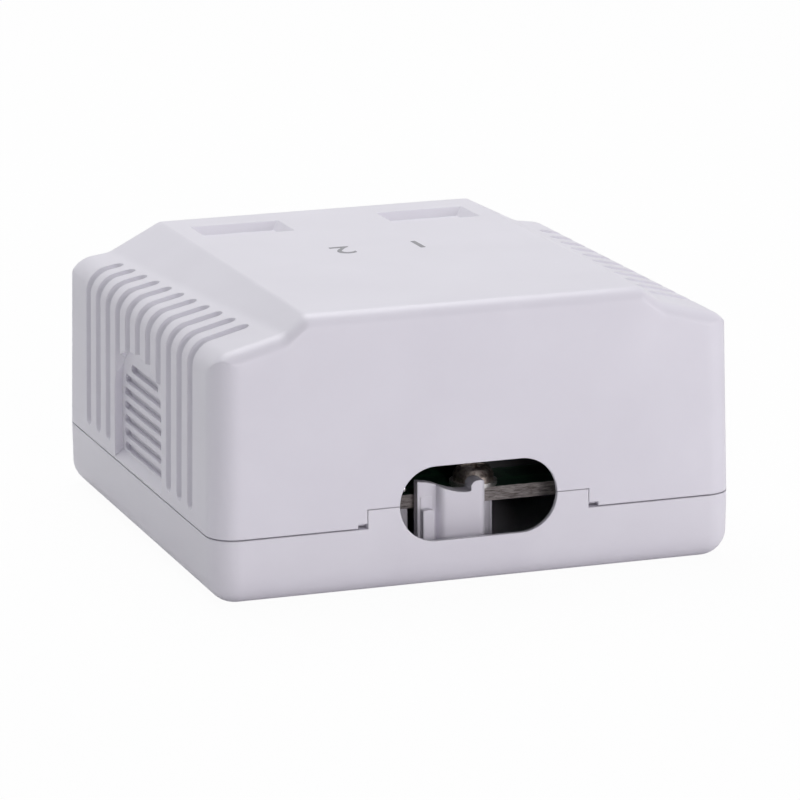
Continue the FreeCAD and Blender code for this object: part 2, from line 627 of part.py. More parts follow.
def make_cover():
    """The hollow cover: outer form, cavity, openings, panels, inner ribs and grooves."""
    whole = doc.addObject("Part::Common", "cover_outer")
    whole.Base = make_roof_form()
    whole.Tool = make_plan_form()
    doc.recompute()
    body = new_body("cover_body")
    body.BaseFeature = whole
    doc.recompute()
    hollow_floor = "(seam_height - 1)"
    cable = roof_section(body, "hollow_cable", "cable", f"-{INNER_Y}", "roof", "wall", hollow_floor)
    port = roof_section(body, "hollow_port", "port", INNER_Y, "roof", "wall", hollow_floor)
    loft(body, "SubtractiveLoft", "hollow", port, cable)

    cut_openings(body)
    add_inner_ribs(body)
    cut_panels(body)
    grooves = doc.addObject("Part::Feature", "groove_tools")
    grooves.Shape = Part.makeCompound([groove_tool(k, side) for k in range(SIZE["groove_count"])
                                       for side in (1, -1)])
    cover = doc.addObject("Part::Cut", "cover_shell")
    cover.Base = body
    cover.Tool = grooves
    return cover


def cut_openings(body):
    """Cable entry, the seat of the base's tongue, pry notches, port windows and labels."""
    entry = obrounds(body, "entry", "XZ_Plane", f"-{HALF_Y} - 1",
                     [("0", ENTRY_Z, "entry_half")], "entry_radius")
    pocket(body, "cable_entry", entry, "wall + 2", back=True)
    thin_entry(body)
    seat = rectangle(body, "tongue_seat_front", "XZ_Plane", f"-{HALF_Y} - 1",
                     "-(tongue_half + tongue_gap)", "tongue_half + tongue_gap",
                     f"{SEAM} - 1", f"{ENTRY_Z} + tongue_gap")
    pocket(body, "tongue_seat", seat, "wall + 2", back=True)
    notches = rectangle(body, "pry_front", "XZ_Plane", f"-{HALF_Y} - 1",
                        "-(tongue_half + tongue_gap + pry_width)",
                        "tongue_half + tongue_gap + pry_width",
                        f"{SEAM} - 1", f"{COVER_FLOOR} + pry_height")
    pocket(body, "pry_notches", notches, "1 + wall / 2", back=True)
    roof = "(plateau_height_cable + 1)"
    for side, sign in (("left", "-"), ("right", "")):
        middle_x = f"{sign}port_offset"
        reach = "(plug_width / 2 + window_margin)"
        window = rectangle(body, f"window_{side}_front", "XZ_Plane", f"{HALF_Y} + 1",
                           f"{middle_x} - {reach}", f"{middle_x} + {reach}",
                           f"{PLUG_FLOOR} - latch_height - key_height - window_margin",
                           f"{PLUG_ROOF} + window_margin")
        pocket(body, f"port_window_{side}", window, "wall + 2")
        rims = []
        for rim, height, inset in (("top", f"{roof} + label_above", "0"),
                                   ("floor", f"{roof} - label_depth", "label_slope")):
            rims.append(rectangle(body, f"label_{side}_{rim}", "XY_Plane", height,
                                  f"{sign}(label_inner + {inset})", f"{sign}(label_outer - {inset})",
                                  f"label_back + {inset} - {HALF_Y}",
                                  f"label_back + label_depth_y - {inset} - {HALF_Y}"))
        loft(body, "SubtractiveLoft", f"label_{side}", *rims)


def add_inner_ribs(body):
    """Hold-down ribs under the roof and the catches of the snap hooks."""
    ceiling = "(plateau_height_port - roof / 2)"
    for side, sign in (("left", "-"), ("right", "")):
        rib = rectangle(body, f"press_rib_{side}_front", "XZ_Plane",
                        "press_thickness / 2 - (wall + jack_gap + jack_depth / 2 - box_length / 2)",
                        f"{sign}port_offset - plug_width / 2", f"{sign}port_offset + plug_width / 2",
                        "board_height + board_thickness + jack_height + press_gap",
                        ceiling)
        pad(body, f"press_rib_{side}", rib, "press_thickness", back=True)
    press_y = f"({SCREW_REAR} - press_post_ahead)"
    post = rectangle(body, "press_post_plan", "XY_Plane", f"{BOARD_TOP} + press_gap",
                     "-press_post_x - press_thickness / 2", "-press_post_x + press_thickness / 2",
                     f"{press_y} - press_thickness / 2", f"{press_y} + press_thickness / 2")
    pad(body, "press_post", post, f"{ceiling} - {BOARD_TOP} - press_gap")
    reach = f"({INNER_X} - hook_gap + barb + catch_gap)"
    for side, sign in (("left", "-"), ("right", "")):
        low = "hook_top - 2 * barb_height - press_gap - catch_height"
        ledge = outline(body, f"catch_{side}_front", "XZ_Plane", f"hook_width / 2 - {HOOK_Y}",
                        [(f"{sign}{reach}", low), (f"{sign}({INNER_X} + wall / 4)", low),
                         (f"{sign}({INNER_X} + wall / 4)", f"{low} + catch_height"),
                         (f"{sign}{reach}", f"{low} + catch_height")])
        made = pad(body, f"catch_{side}", ledge, "hook_width", back=True)
        mirrored(body, f"catch_{side}_pair", [made], "XZ_Plane")


def cut_panels(body):
    """An arched knock-out panel with its slots in the middle of each side."""
    face = f"({HALF_X} - panel_depth)"
    arch = arch_sketch(body, "panel_arch", face)
    panel = pocket(body, "panel", arch, "panel_depth + 1", back=True)
    lip_side = outline(body, "panel_lip_side", "XZ_Plane", "-(side_middle + panel_half)",
                       [(f"{face} - 0.1", COVER_FLOOR), (HALF_X, COVER_FLOOR),
                        (f"{HALF_X} - cover_draft * panel_foot", f"{COVER_FLOOR} + panel_foot"),
                        (f"{face} - 0.1", f"{COVER_FLOOR} + panel_lip")])
    lip = pad(body, "panel_lip", lip_side, "2 * panel_half")
    slots = []
    for k in range(SIZE["slat_count"]):
        height = f"({SEAM} + slat_first + {k} * slat_pitch)"
        slots.append(("side_middle", height, slat_half(k)))
    drawing = obrounds(body, "slats_front", "YZ_Plane", f"{face} - slat_depth", slots, "slat_radius")
    slats = pocket(body, "slats", drawing, "slat_depth + 0.5", back=True)
    mirrored(body, "panel_pair", [panel, lip, slats], "YZ_Plane")


def slat_half(number):
    """Half length of a slot, which keeps its rim below the panel's crown."""
    rise = f"(panel_height - slat_first - {number} * slat_pitch - slat_radius - slat_margin)"
    return f"min(panel_half - slat_margin; panel_half - slat_margin - panel_corner + 1.6 * {rise})"


def arch_sketch(body, name, face):
    """Upright sides, rounded shoulders and a flat crown, open below the seam."""
    half, corner, crown = SIZE["panel_half"], SIZE["panel_corner"], SIZE["panel_crown"]
    low, top = SIZE["seam_height"] - 1, SIZE["seam_height"] + SIZE["panel_height"]
    shoulder = half - corner
    drop = crown - math.sqrt((crown - corner) ** 2 - shoulder ** 2)
    drawing = new_sketch(body, name, "YZ_Plane", face)
    drawing.setExpression("AttachmentOffset.Base.x", bound("side_middle"))
    up = FreeCAD.Vector(0, 0, 1)
    lean = math.asin(shoulder / (crown - corner))
    right, left = FreeCAD.Vector(shoulder, top - drop, 0), FreeCAD.Vector(-shoulder, top - drop, 0)
    drawing.addGeometry([
        Part.LineSegment(FreeCAD.Vector(-half, low, 0), FreeCAD.Vector(half, low, 0)),
        Part.LineSegment(FreeCAD.Vector(half, low, 0), FreeCAD.Vector(half, top - drop, 0)),
        Part.ArcOfCircle(Part.Circle(right, up, corner), 0, math.pi / 2 - lean),
        Part.ArcOfCircle(Part.Circle(FreeCAD.Vector(0, top - crown, 0), up, crown),
                         math.pi / 2 - lean, math.pi / 2 + lean),
        Part.ArcOfCircle(Part.Circle(left, up, corner), math.pi / 2 + lean, math.pi),
        Part.LineSegment(FreeCAD.Vector(-half, top - drop, 0), FreeCAD.Vector(-half, low, 0)),
    ], False)
    drawing.addConstraint([
        Sketcher.Constraint("Coincident", 0, 2, 1, 1), Sketcher.Constraint("Tangent", 1, 2, 2, 1),
        Sketcher.Constraint("Tangent", 2, 2, 3, 1), Sketcher.Constraint("Tangent", 3, 2, 4, 1),
        Sketcher.Constraint("Tangent", 4, 2, 5, 1), Sketcher.Constraint("Coincident", 5, 2, 0, 1),
        Sketcher.Constraint("Horizontal", 0), Sketcher.Constraint("Vertical", 1),
        Sketcher.Constraint("Vertical", 5), Sketcher.Constraint("PointOnObject", 3, 3, -2),
    ])
    tie(drawing, "DistanceX", -1, 1, 0, 1, -half, to="-panel_half")
    tie(drawing, "DistanceX", -1, 1, 0, 2, half, to="panel_half")
    tie(drawing, "DistanceY", -1, 1, 0, 1, low, to=f"{SEAM} - 1")
    tie(drawing, "DistanceY", -1, 1, 3, 3, top - crown, to=f"{SEAM} + panel_height - panel_crown")
    tie(drawing, "Radius", 3, crown, to="panel_crown")
    tie(drawing, "Radius", 2, corner, to="panel_corner")
    tie(drawing, "Radius", 4, corner, to="panel_corner")
    return drawing


def along(port, cable, y):
    """A size that runs straight from its port-end value to its cable-end value."""
    share = (y + SIZE["box_length"] / 2) / SIZE["box_length"]
    return SIZE[port] + share * (SIZE[cable] - SIZE[port])


def groove_tool(number, side):
    """A round-ended bar that follows the wall, the shoulder's rounding and the shoulder."""
    y = SIZE["side_middle"] + (number - (SIZE["groove_count"] - 1) / 2) * SIZE["groove_pitch"]
    corner_z = along("shoulder_height_port", "shoulder_height_cable", y)
    corner_x = SIZE["box_width"] / 2 - SIZE["cover_draft"] * (corner_z - SIZE["seam_height"])
    foot_x = along("foot_half_port", "foot_half_cable", y)
    foot_z = along("foot_height_port", "foot_height_cable", y)
    start_z = SIZE["seam_height"] + SIZE["groove_start"] + SIZE["groove_radius"]
    start_x = SIZE["box_width"] / 2 - SIZE["cover_draft"] * (start_z - SIZE["seam_height"])
    corner = FreeCAD.Vector(side * corner_x, y, corner_z)
    down = FreeCAD.Vector(side * start_x, y, start_z) - corner
    inward = FreeCAD.Vector(side * foot_x, y, foot_z) - corner
    reach = inward.Length * (corner_x - foot_x - SIZE["groove_margin"]) / (corner_x - foot_x)
    drop = down.Length
    down.normalize()
    inward.normalize()
    half_turn = math.acos(down.dot(inward)) / 2
    bend = SIZE["shoulder_radius"]
    centre = corner + (down + inward).normalize() * (bend / math.sin(half_turn))
    setback = bend / math.tan(half_turn)
    raised = (bend + SIZE["groove_rise"]) / bend
    on_wall = centre + (corner + down * setback - centre) * raised
    on_top = centre + (corner + inward * setback - centre) * raised
    radius = SIZE["groove_radius"]
    bar = Part.makeCylinder(radius, drop - setback, on_wall, down)
    run = Part.makeCylinder(radius, reach - setback, on_top, inward)
    ring = Part.Face(Part.Wire([Part.makeCircle(radius, on_wall, down)]))
    swing = (on_wall - centre).cross(on_top - centre)
    turn = ring.revolve(centre, swing, math.degrees(math.pi - 2 * half_turn))
    ends = [Part.makeSphere(radius, on_wall + down * (drop - setback)),
            Part.makeSphere(radius, on_top + inward * (reach - setback))]
    return bar.fuse([turn, run] + ends).removeSplitter()


# ---------------------------------------------------------------- circuit board and screws
def make_board():
    """The circuit board with its holes and the two screwdriver notches."""
    body = new_body("circuit_board", z="board_height")
    edge = rectangle(body, "board_plan", "XY_Plane", "0", "-board_half", "board_half",
                     BOARD_PORT, BOARD_CABLE)
    pad(body, "board", edge, "board_thickness")
    top = "board_thickness"
    through = "board_thickness + 1"

    def drill(name, centres, radius):
        drawing = discs(body, name + "_plan", "XY_Plane", f"{top} + 0.5", centres, radius)
        pocket(body, name, drawing, through)

    drill("screw_holes", [("-screw_side", SCREW_REAR), ("0", SCREW_FRONT)],
          "pilot_radius + screw_hole_clearance")
    drill("peg_holes", [("-peg_side", PEG_Y), ("peg_side", PEG_Y)],
          "peg_radius + peg_clearance")
    drill("screwdriver_notches", [("-wall_slot_side", "wall_slot_y"), ("wall_slot_side", "wall_slot_y")],
          "notch_radius")
    jack_pegs = [(f"{sign}port_offset {hand} jack_peg_side", f"{JACK_FACE} + jack_peg_back")
                 for sign in ("-", "") for hand in ("-", "+")]
    drill("jack_peg_holes", jack_pegs, "jack_peg_radius + peg_clearance")
    pins = [(f"{sign}port_offset + {k - 3.5} * contact_pitch", f"{JACK_BACK} - {pin_inset(k)}")
            for sign in ("-", "") for k in range(8)]
    drill("jack_pin_holes", pins, "pin_hole_radius")
    tails = [(f"{sign}port_offset + {k - 1.5} * block_pitch", row)
             for sign in ("-", "") for row in (BLOCK_FRONT, BLOCK_REAR) for k in range(4)]
    drill("tail_holes", tails, "tail_hole_radius")
    return body


def pin_inset(number):
    """Distance of a contact's pin from the back of the jack: two staggered rows."""
    return "(pin_row + pin_row_step)" if number % 2 else "pin_row"


def make_screw(label, x, y):
    """A pan-head screw with a cross recess, seated on its washer."""
    body = new_body(label, x, y, f"{BOARD_TOP} + washer_thickness")
    shank = "(pilot_radius - pilot_clearance)"
    side = outline(body, "half_section", "XZ_Plane", "0",
                   [("0", "-washer_thickness - screw_length"),
                    (f"{shank} * 0.4", "-washer_thickness - screw_length"),
                    (shank, "1 - washer_thickness - screw_length"), (shank, "0"),
                    ("head_radius", "0"), ("head_radius", "head_height * 0.4"),
                    ("head_radius * 0.82", "head_height * 0.85"),
                    ("head_radius * 0.5", "head_height"), ("0", "head_height")])
    turned = feature(body, "Revolution", "turned", side)
    axis = [o for o in body.Origin.OriginFeatures if o.Role == "Z_Axis"][0]
    turned.ReferenceAxis = (axis, [""])
    turned.Angle = 360
    for name, long_way, short_way in (("slot_x", "recess_half", "recess_width / 2"),
                                      ("slot_y", "recess_width / 2", "recess_half")):
        drawing = rectangle(body, name + "_plan", "XY_Plane", "head_height + 1", f"-{long_way}",
                            long_way, f"-{short_way}", short_way)
        pocket(body, name, drawing, "recess_depth + 1")
    return body


def make_washer(label, x, y):
    body = new_body(label, x, y, BOARD_TOP)
    disc = discs(body, "disc", "XY_Plane", "0", [("0", "0")], "washer_radius")
    pad(body, "plate", disc, "washer_thickness")
    hole = discs(body, "hole_plan", "XY_Plane", "washer_thickness + 0.5", [("0", "0")],
                 "pilot_radius + screw_hole_clearance")
    pocket(body, "hole", hole, "washer_thickness + 1")
    return body


# ---------------------------------------------------------------- jacks
def make_housing(label, x):
    """A jack housing: plug opening with its latch steps, contact channels, rear chamber."""
    body = new_body(label, x, JACK_FACE, BOARD_TOP)
    face = rectangle(body, "face", "XZ_Plane", "0", "-jack_width / 2", "jack_width / 2",
                     "0", "jack_height")
    pad(body, "block", face, "jack_depth", back=True)
    floor = "plug_floor"
    roof = "(plug_floor + plug_height)"
    opening = outline(body, "plug_front", "XZ_Plane", "1",
                      [("-plug_width / 2", roof), ("-plug_width / 2", floor),
                       ("-latch_width / 2", floor), ("-latch_width / 2", f"{floor} - latch_height"),
                       ("-key_width / 2", f"{floor} - latch_height"),
                       ("-key_width / 2", f"{floor} - latch_height - key_height"),
                       ("key_width / 2", f"{floor} - latch_height - key_height"),
                       ("key_width / 2", f"{floor} - latch_height"),
                       ("latch_width / 2", f"{floor} - latch_height"), ("latch_width / 2", floor),
                       ("plug_width / 2", floor), ("plug_width / 2", roof)])
    pocket(body, "plug_opening", opening, "plug_depth + 1")
    chamber = rectangle(body, "chamber_back", "XZ_Plane", "-jack_depth - 1",
                        "-plug_width / 2", "plug_width / 2", "-1", f"{roof} + channel_height")
    pocket(body, "rear_chamber", chamber, "jack_depth + 1 - plug_depth - jack_back_wall", back=True)
    channel = rectangle(body, "channel_side", "YZ_Plane", "-3.5 * contact_pitch",
                        "channel_front", "jack_depth - 1", f"{roof} - 0.5", f"{roof} + channel_height")
    first = pocket(body, "channel", channel, "channel_width", both=True)
    pattern(body, "channels", [first], "X_Axis", "8", "7 * contact_pitch")
    pegs = discs(body, "peg_plan", "XY_Plane", "0",
                 [("-jack_peg_side", "jack_peg_back"), ("jack_peg_side", "jack_peg_back")],
                 "jack_peg_radius")
    pad(body, "pegs", pegs, "board_thickness + peg_rise / 2", back=True)
    return body


def make_carrier(label, x):
    """The comb in a housing's rear chamber that keeps the eight contacts apart."""
    body = new_body(label, x, JACK_BACK, BOARD_TOP)
    roof = "(plug_floor + plug_height)"
    depth = "(jack_depth - plug_depth - jack_back_wall - carrier_gap)"
    back = rectangle(body, "back", "XZ_Plane", "0", "carrier_gap - plug_width / 2",
                     "plug_width / 2 - carrier_gap", "0", f"{roof} + channel_height - contact_top "
                     "- contact_thickness / 2 - carrier_top_gap")
    pad(body, "block", back, depth)
    for row, parity in (("rear", 0), ("front", 1)):
        inset = pin_inset(parity)
        slot = rectangle(body, f"slot_{row}_plan", "XY_Plane", "jack_height",
                         f"({parity - 3.5}) * contact_pitch - channel_width / 2",
                         f"({parity - 3.5}) * contact_pitch + channel_width / 2",
                         f"-{inset} - contact_thickness / 2 - carrier_gap", "1")
        first = pocket(body, f"slot_{row}", slot, "jack_height + 1")
        pattern(body, f"slots_{row}", [first], "X_Axis", "4", "6 * contact_pitch")
    return body


def make_contact(label, x, number):
    """One jack contact: pin, riser, run over the carrier and sprung free end."""
    body = new_body(label, f"{x} + {number - 3.5} * contact_pitch", JACK_FACE, BOARD_TOP)
    pin_y = f"(jack_depth - {pin_inset(number)})"
    roof = "(plug_floor + plug_height)"
    run_z = f"({roof} + channel_height - contact_top)"
    path = outline(body, "line", "YZ_Plane", "0",
                   [(pin_y, "-board_thickness - pin_below"), (pin_y, run_z),
                    ("bend_front + 0.5", run_z), ("bend_front", f"{run_z} - 0.45"),
                    ("bend_front + 0.6", f"{run_z} - 0.9"), ("tip_back", f"{roof} - contact_dip")],
                   closed=False)
    section = rectangle(body, "section", "XY_Plane", "-board_thickness - pin_below",
                        "-contact_width / 2", "contact_width / 2",
                        f"{pin_y} - contact_thickness / 2", f"{pin_y} + contact_thickness / 2")
    wire = body.newObject("PartDesign::AdditivePipe", "wire")
    wire.Profile = section
    wire.Spine = path
    wire.Transition = 1
    return body


# ---------------------------------------------------------------- punch-down blocks
def make_block(label, x, y):
    """A tapered block with four wire slots and a chamber for each contact."""
    body = new_body(label, x, y, BOARD_TOP)
    side = outline(body, "taper", "YZ_Plane", "0",
                   [("-block_depth / 2", "0"), ("block_depth / 2", "0"),
                    ("block_depth / 2", "block_height / 2"), ("block_top_depth / 2", "block_height"),
                    ("-block_top_depth / 2", "block_height"), ("-block_depth / 2", "block_height / 2")])
    pad(body, "block", side, "block_width", both=True)
    first_way = "(-1.5 * block_pitch)"
    wire = outline(body, "wire_slot_front", "XZ_Plane", "0",
                   [(f"{first_way} - wire_slot / 2", "block_height - wire_slot_depth"),
                    (f"{first_way} + wire_slot / 2", "block_height - wire_slot_depth"),
                    (f"{first_way} + wire_slot / 2", "block_height - 1.2"),
                    (f"{first_way} + wire_slot", "block_height + 0.5"),
                    (f"{first_way} - wire_slot", "block_height + 0.5"),
                    (f"{first_way} - wire_slot / 2", "block_height - 1.2")])
    slot = pocket(body, "wire_slot", wire, "block_depth + 1", both=True)
    reach = "(fork_width / 2 + fork_clearance)"
    deep = "(fork_thickness / 2 + fork_clearance)"
    chamber = rectangle(body, "chamber_plan", "XY_Plane", "block_height + 0.5",
                        f"{first_way} - {reach}", f"{first_way} + {reach}", f"-{deep}", deep)
    hole = pocket(body, "chamber", chamber, "block_height + 1")
    pattern(body, "ways", [slot, hole], "X_Axis", "block_ways", "(block_ways - 1) * block_pitch")
    return body


def make_fork(label, x, y, number):
    """A forked punch-down contact whose tail passes through the board."""
    body = new_body(label, f"{x} + {number - 1.5} * block_pitch", y, BOARD_TOP)
    top = "(block_height - fork_below_top)"
    wide = "fork_width / 2"
    slit = "fork_slit / 2"
    plate = outline(body, "front", "XZ_Plane", "0",
                    [("-tail_half", "-board_thickness - pin_below"),
                     ("tail_half", "-board_thickness - pin_below"), ("tail_half", "0.3"),
                     (wide, "0.3"), (wide, top), ("fork_mouth / 2", top),
                     (slit, f"{top} - fork_mouth"), (slit, f"{top} - fork_slit_depth"),
                     (f"-{slit}", f"{top} - fork_slit_depth"), (f"-{slit}", f"{top} - fork_mouth"),
                     ("-fork_mouth / 2", top), (f"-{wide}", top), (f"-{wide}", "0.3"),
                     ("-tail_half", "0.3")])
    pad(body, "blade", plate, "fork_thickness", both=True)
    return body


# ---------------------------------------------------------------- the whole box
def make_box():
    pieces = [make_base(), make_cover(), make_board()]
    for place, x, y in (("rear", "-screw_side", SCREW_REAR), ("front", "0", SCREW_FRONT)):
        pieces.append(make_screw(f"board_screw_{place}", x, y))
        pieces.append(make_washer(f"screw_washer_{place}", x, y))
    for side, x in (("left", "-port_offset"), ("right", "port_offset")):
        pieces.append(make_housing(f"jack_housing_{side}", x))
        pieces.append(make_carrier(f"contact_carrier_{side}", x))
        for k in range(8):
            pieces.append(make_contact(f"jack_contact_{side}_{k + 1}", x, k))
        for row, y in (("front", BLOCK_FRONT), ("rear", BLOCK_REAR)):
            pieces.append(make_block(f"punch_block_{side}_{row}", x, y))
            for k in range(4):
                pieces.append(make_fork(f"punch_contact_{side}_{row}_{k + 1}", x, y, k))
    return pieces


def check_and_write(pieces):
    doc.recompute()
    faults = [f"{o.Name}: {o.State}" for o in doc.Objects
              if "Invalid" in o.State or "Error" in o.State]
    for piece in pieces:
        if piece.Shape.isNull() or not piece.Shape.isValid():
            faults.append(f"{piece.Label}: no valid shape")
    if faults:
        raise SystemExit("\n".join(faults))
    os.makedirs("parts", exist_ok=True)
    for piece in pieces:
        piece.Shape.exportStep(f"parts/{piece.Label}.step")
        print(piece.Label, len(piece.Shape.Solids), round(piece.Shape.Volume, 2))


check_and_write(make_box())
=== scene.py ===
import math

import bmesh
import bpy
from mathutils import Matrix, Vector


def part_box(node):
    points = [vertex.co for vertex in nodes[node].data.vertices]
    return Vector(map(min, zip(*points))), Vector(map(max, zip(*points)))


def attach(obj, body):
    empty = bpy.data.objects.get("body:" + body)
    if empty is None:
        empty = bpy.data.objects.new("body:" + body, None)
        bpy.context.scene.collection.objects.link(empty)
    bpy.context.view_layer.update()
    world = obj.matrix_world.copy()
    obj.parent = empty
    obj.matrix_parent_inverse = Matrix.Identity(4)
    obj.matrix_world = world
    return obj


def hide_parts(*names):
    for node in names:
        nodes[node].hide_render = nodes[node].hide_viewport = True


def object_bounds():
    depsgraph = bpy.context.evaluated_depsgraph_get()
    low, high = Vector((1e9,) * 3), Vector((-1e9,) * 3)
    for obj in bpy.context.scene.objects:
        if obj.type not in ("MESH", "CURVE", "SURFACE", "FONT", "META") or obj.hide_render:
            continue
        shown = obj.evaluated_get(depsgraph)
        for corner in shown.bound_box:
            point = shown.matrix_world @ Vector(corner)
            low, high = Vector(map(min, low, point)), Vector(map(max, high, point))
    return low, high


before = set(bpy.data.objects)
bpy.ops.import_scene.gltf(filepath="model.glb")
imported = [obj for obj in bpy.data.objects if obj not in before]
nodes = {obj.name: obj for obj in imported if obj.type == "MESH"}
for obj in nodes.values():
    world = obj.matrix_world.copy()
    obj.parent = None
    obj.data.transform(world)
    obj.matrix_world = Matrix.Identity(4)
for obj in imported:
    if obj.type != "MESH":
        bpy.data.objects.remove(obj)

cad_low, cad_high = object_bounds()

# ------------------------------------------------------------------ base shell
# The base is one injection moulding in white ABS: floor, low wall, board posts,
# cover catches and the strain relief post that stands in the cable entry. Two wall
# screws through its slots hold the whole box to the wall.
MM = 0.001
MERGE_WITHIN = 0.001 * MM
SHELL_SMOOTH = math.radians(28)
FACING = 0.9


def pick(*chosen):
    """Selects these objects and no others, the first of them active."""
    bpy.ops.object.select_all(action="DESELECT")
    for thing in chosen:
        thing.select_set(True)
    bpy.context.view_layer.objects.active = chosen[0]


def new_material(name):
    """A node material with its node tree and its shader."""
    material = bpy.data.materials.new(name)
    material.use_nodes = True
    tree = material.node_tree
    return material, tree, tree.nodes["Principled BSDF"]


def new_group(name, inputs, outputs):
    """An empty shader node group with the sockets named."""
    group = bpy.data.node_groups.new(name, "ShaderNodeTree")
    for label, kind, value in inputs:
        socket = group.interface.new_socket(label, in_out="INPUT", socket_type=kind)
        if value is not None:
            socket.default_value = value
    for label, kind in outputs:
        group.interface.new_socket(label, in_out="OUTPUT", socket_type=kind)
    return group


def node(tree, kind, **settings):
    """One node with its settings and unlinked inputs filled in."""
    made = tree.nodes.new(kind)
    values = settings.pop("values", {})
    for key, value in settings.items():
        setattr(made, key, value)
    for key, value in values.items():
        made.inputs[key].default_value = value
    return made


def moulded_skin():
    """Moulded surface: faint flow clouds, fine orange peel and a little settled dust."""
    group = new_group(
        "moulded_skin",
        [("Vector", "NodeSocketVector", None), ("Peel Scale", "NodeSocketFloat", 900.0),
         ("Gloss Low", "NodeSocketFloat", 0.25), ("Gloss High", "NodeSocketFloat", 0.38)],
        [("Cloud", "NodeSocketFloat"), ("Roughness", "NodeSocketFloat"),
         ("Height", "NodeSocketFloat")],
    )
    taken = node(group, "NodeGroupInput")
    given = node(group, "NodeGroupOutput")
    cloud = node(group, "ShaderNodeTexNoise",
                 values={"Scale": 95.0, "Detail": 3.0, "Roughness": 0.5, "Distortion": 0.4})
    peel = node(group, "ShaderNodeTexNoise",
                values={"Detail": 2.0, "Roughness": 0.45})
    smear = node(group, "ShaderNodeTexNoise",
                 values={"Scale": 420.0, "Detail": 4.0, "Roughness": 0.6})
    spread = node(group, "ShaderNodeMapRange",
                  values={"From Min": 0.32, "From Max": 0.7})
    mixed = node(group, "ShaderNodeMath", operation="MULTIPLY_ADD",
                 values={1: 0.35, 2: 0.0})
    total = node(group, "ShaderNodeMath", operation="ADD", use_clamp=True)
    finish = node(group, "ShaderNodeMapRange")
    join = group.links.new
    for texture in (cloud, peel, smear):
        join(taken.outputs["Vector"], texture.inputs["Vector"])
    join(taken.outputs["Peel Scale"], peel.inputs["Scale"])
    join(cloud.outputs["Fac"], spread.inputs["Value"])
    join(spread.outputs["Result"], given.inputs["Cloud"])
    join(smear.outputs["Fac"], mixed.inputs[0])
    join(mixed.outputs[0], total.inputs[0])
    join(cloud.outputs["Fac"], total.inputs[1])
    join(total.outputs[0], finish.inputs["Value"])
    join(taken.outputs["Gloss Low"], finish.inputs["To Min"])
    join(taken.outputs["Gloss High"], finish.inputs["To Max"])
    join(finish.outputs["Result"], given.inputs["Roughness"])
    join(peel.outputs["Fac"], given.inputs["Height"])
    return group


def eased_edges():
    """The small radius every moulded edge has, and a mask that is 1 along those edges, where a
    painted highlight goes.
    """
    group = new_group(
        "eased_edges",
        [("Radius", "NodeSocketFloat", 0.0003)],
        [("Normal", "NodeSocketVector"), ("Edge", "NodeSocketFloat")],
    )
    taken = node(group, "NodeGroupInput")
    given = node(group, "NodeGroupOutput")
    bevel = node(group, "ShaderNodeBevel", samples=6)
    flat = node(group, "ShaderNodeNewGeometry")
    turned = node(group, "ShaderNodeVectorMath", operation="DOT_PRODUCT")
    mask = node(group, "ShaderNodeMapRange",
                values={"From Min": 0.999, "From Max": 0.86})
    join = group.links.new
    join(taken.outputs["Radius"], bevel.inputs["Radius"])
    join(bevel.outputs["Normal"], given.inputs["Normal"])
    join(bevel.outputs["Normal"], turned.inputs[0])
    join(flat.outputs["Normal"], turned.inputs[1])
    join(turned.outputs["Value"], mask.inputs["Value"])
    join(mask.outputs["Result"], given.inputs["Edge"])
    return group


SKIN = moulded_skin()
EDGES = eased_edges()


def moulded_plastic(name, shade, thin_shade, edge_highlight_colour, gloss, peel, edge_radius):
    """A moulded plastic: body colour, a second one in the flow clouds, a lighter third along the
    edges as a painted highlight.
    """
    material, tree, shader = new_material(name)
    shader.inputs["IOR"].default_value = 1.53
    place = node(tree, "ShaderNodeTexCoord")
    skin = node(tree, "ShaderNodeGroup", node_tree=SKIN,
                values={"Peel Scale": peel, "Gloss Low": gloss[0], "Gloss High": gloss[1]})
    edges = node(tree, "ShaderNodeGroup", node_tree=EDGES, values={"Radius": edge_radius})
    body = node(tree, "ShaderNodeMix", data_type="RGBA")
    body.inputs["A"].default_value = (*shade, 1)
    body.inputs["B"].default_value = (*thin_shade, 1)
    # Painted highlight: the edges take a lighter colour, standing in for the light that rounded
    # edges catch.
    edge_highlight = node(tree, "ShaderNodeMix", data_type="RGBA")
    edge_highlight.inputs["B"].default_value = (*edge_highlight_colour, 1)
    bump = node(tree, "ShaderNodeBump", values={"Strength": 0.09, "Distance": 0.00004})
    join = tree.links.new
    join(place.outputs["Object"], skin.inputs["Vector"])
    join(skin.outputs["Cloud"], body.inputs["Factor"])
    join(body.outputs["Result"], edge_highlight.inputs["A"])
    join(edges.outputs["Edge"], edge_highlight.inputs["Factor"])
    join(edge_highlight.outputs["Result"], shader.inputs["Base Color"])
    join(skin.outputs["Roughness"], shader.inputs["Roughness"])
    join(skin.outputs["Height"], bump.inputs["Height"])
    join(edges.outputs["Normal"], bump.inputs["Normal"])
    join(bump.outputs["Normal"], shader.inputs["Normal"])
    return material


def finish_node(name, material):
    """Gives a CAD node its finish."""
    slots = nodes[name].material_slots
    if not slots:
        nodes[name].data.materials.append(material)
    for held in slots:
        held.material = material


def finish_piece(piece, material):
    """Gives a new piece its one finish."""
    piece.data.materials.clear()
    piece.data.materials.append(material)


def own_copy(name, piece_name):
    """A free copy of a CAD node's mesh, its doubled points merged, to be cut further."""
    piece = bpy.data.objects.new(piece_name, nodes[name].data.copy())
    bpy.context.scene.collection.objects.link(piece)
    pick(piece)
    bpy.ops.mesh.customdata_custom_splitnormals_clear()
    bpy.ops.object.mode_set(mode="EDIT")
    bpy.ops.mesh.select_all(action="SELECT")
    bpy.ops.mesh.remove_doubles(threshold=MERGE_WITHIN)
    bpy.ops.object.mode_set(mode="OBJECT")
    return piece


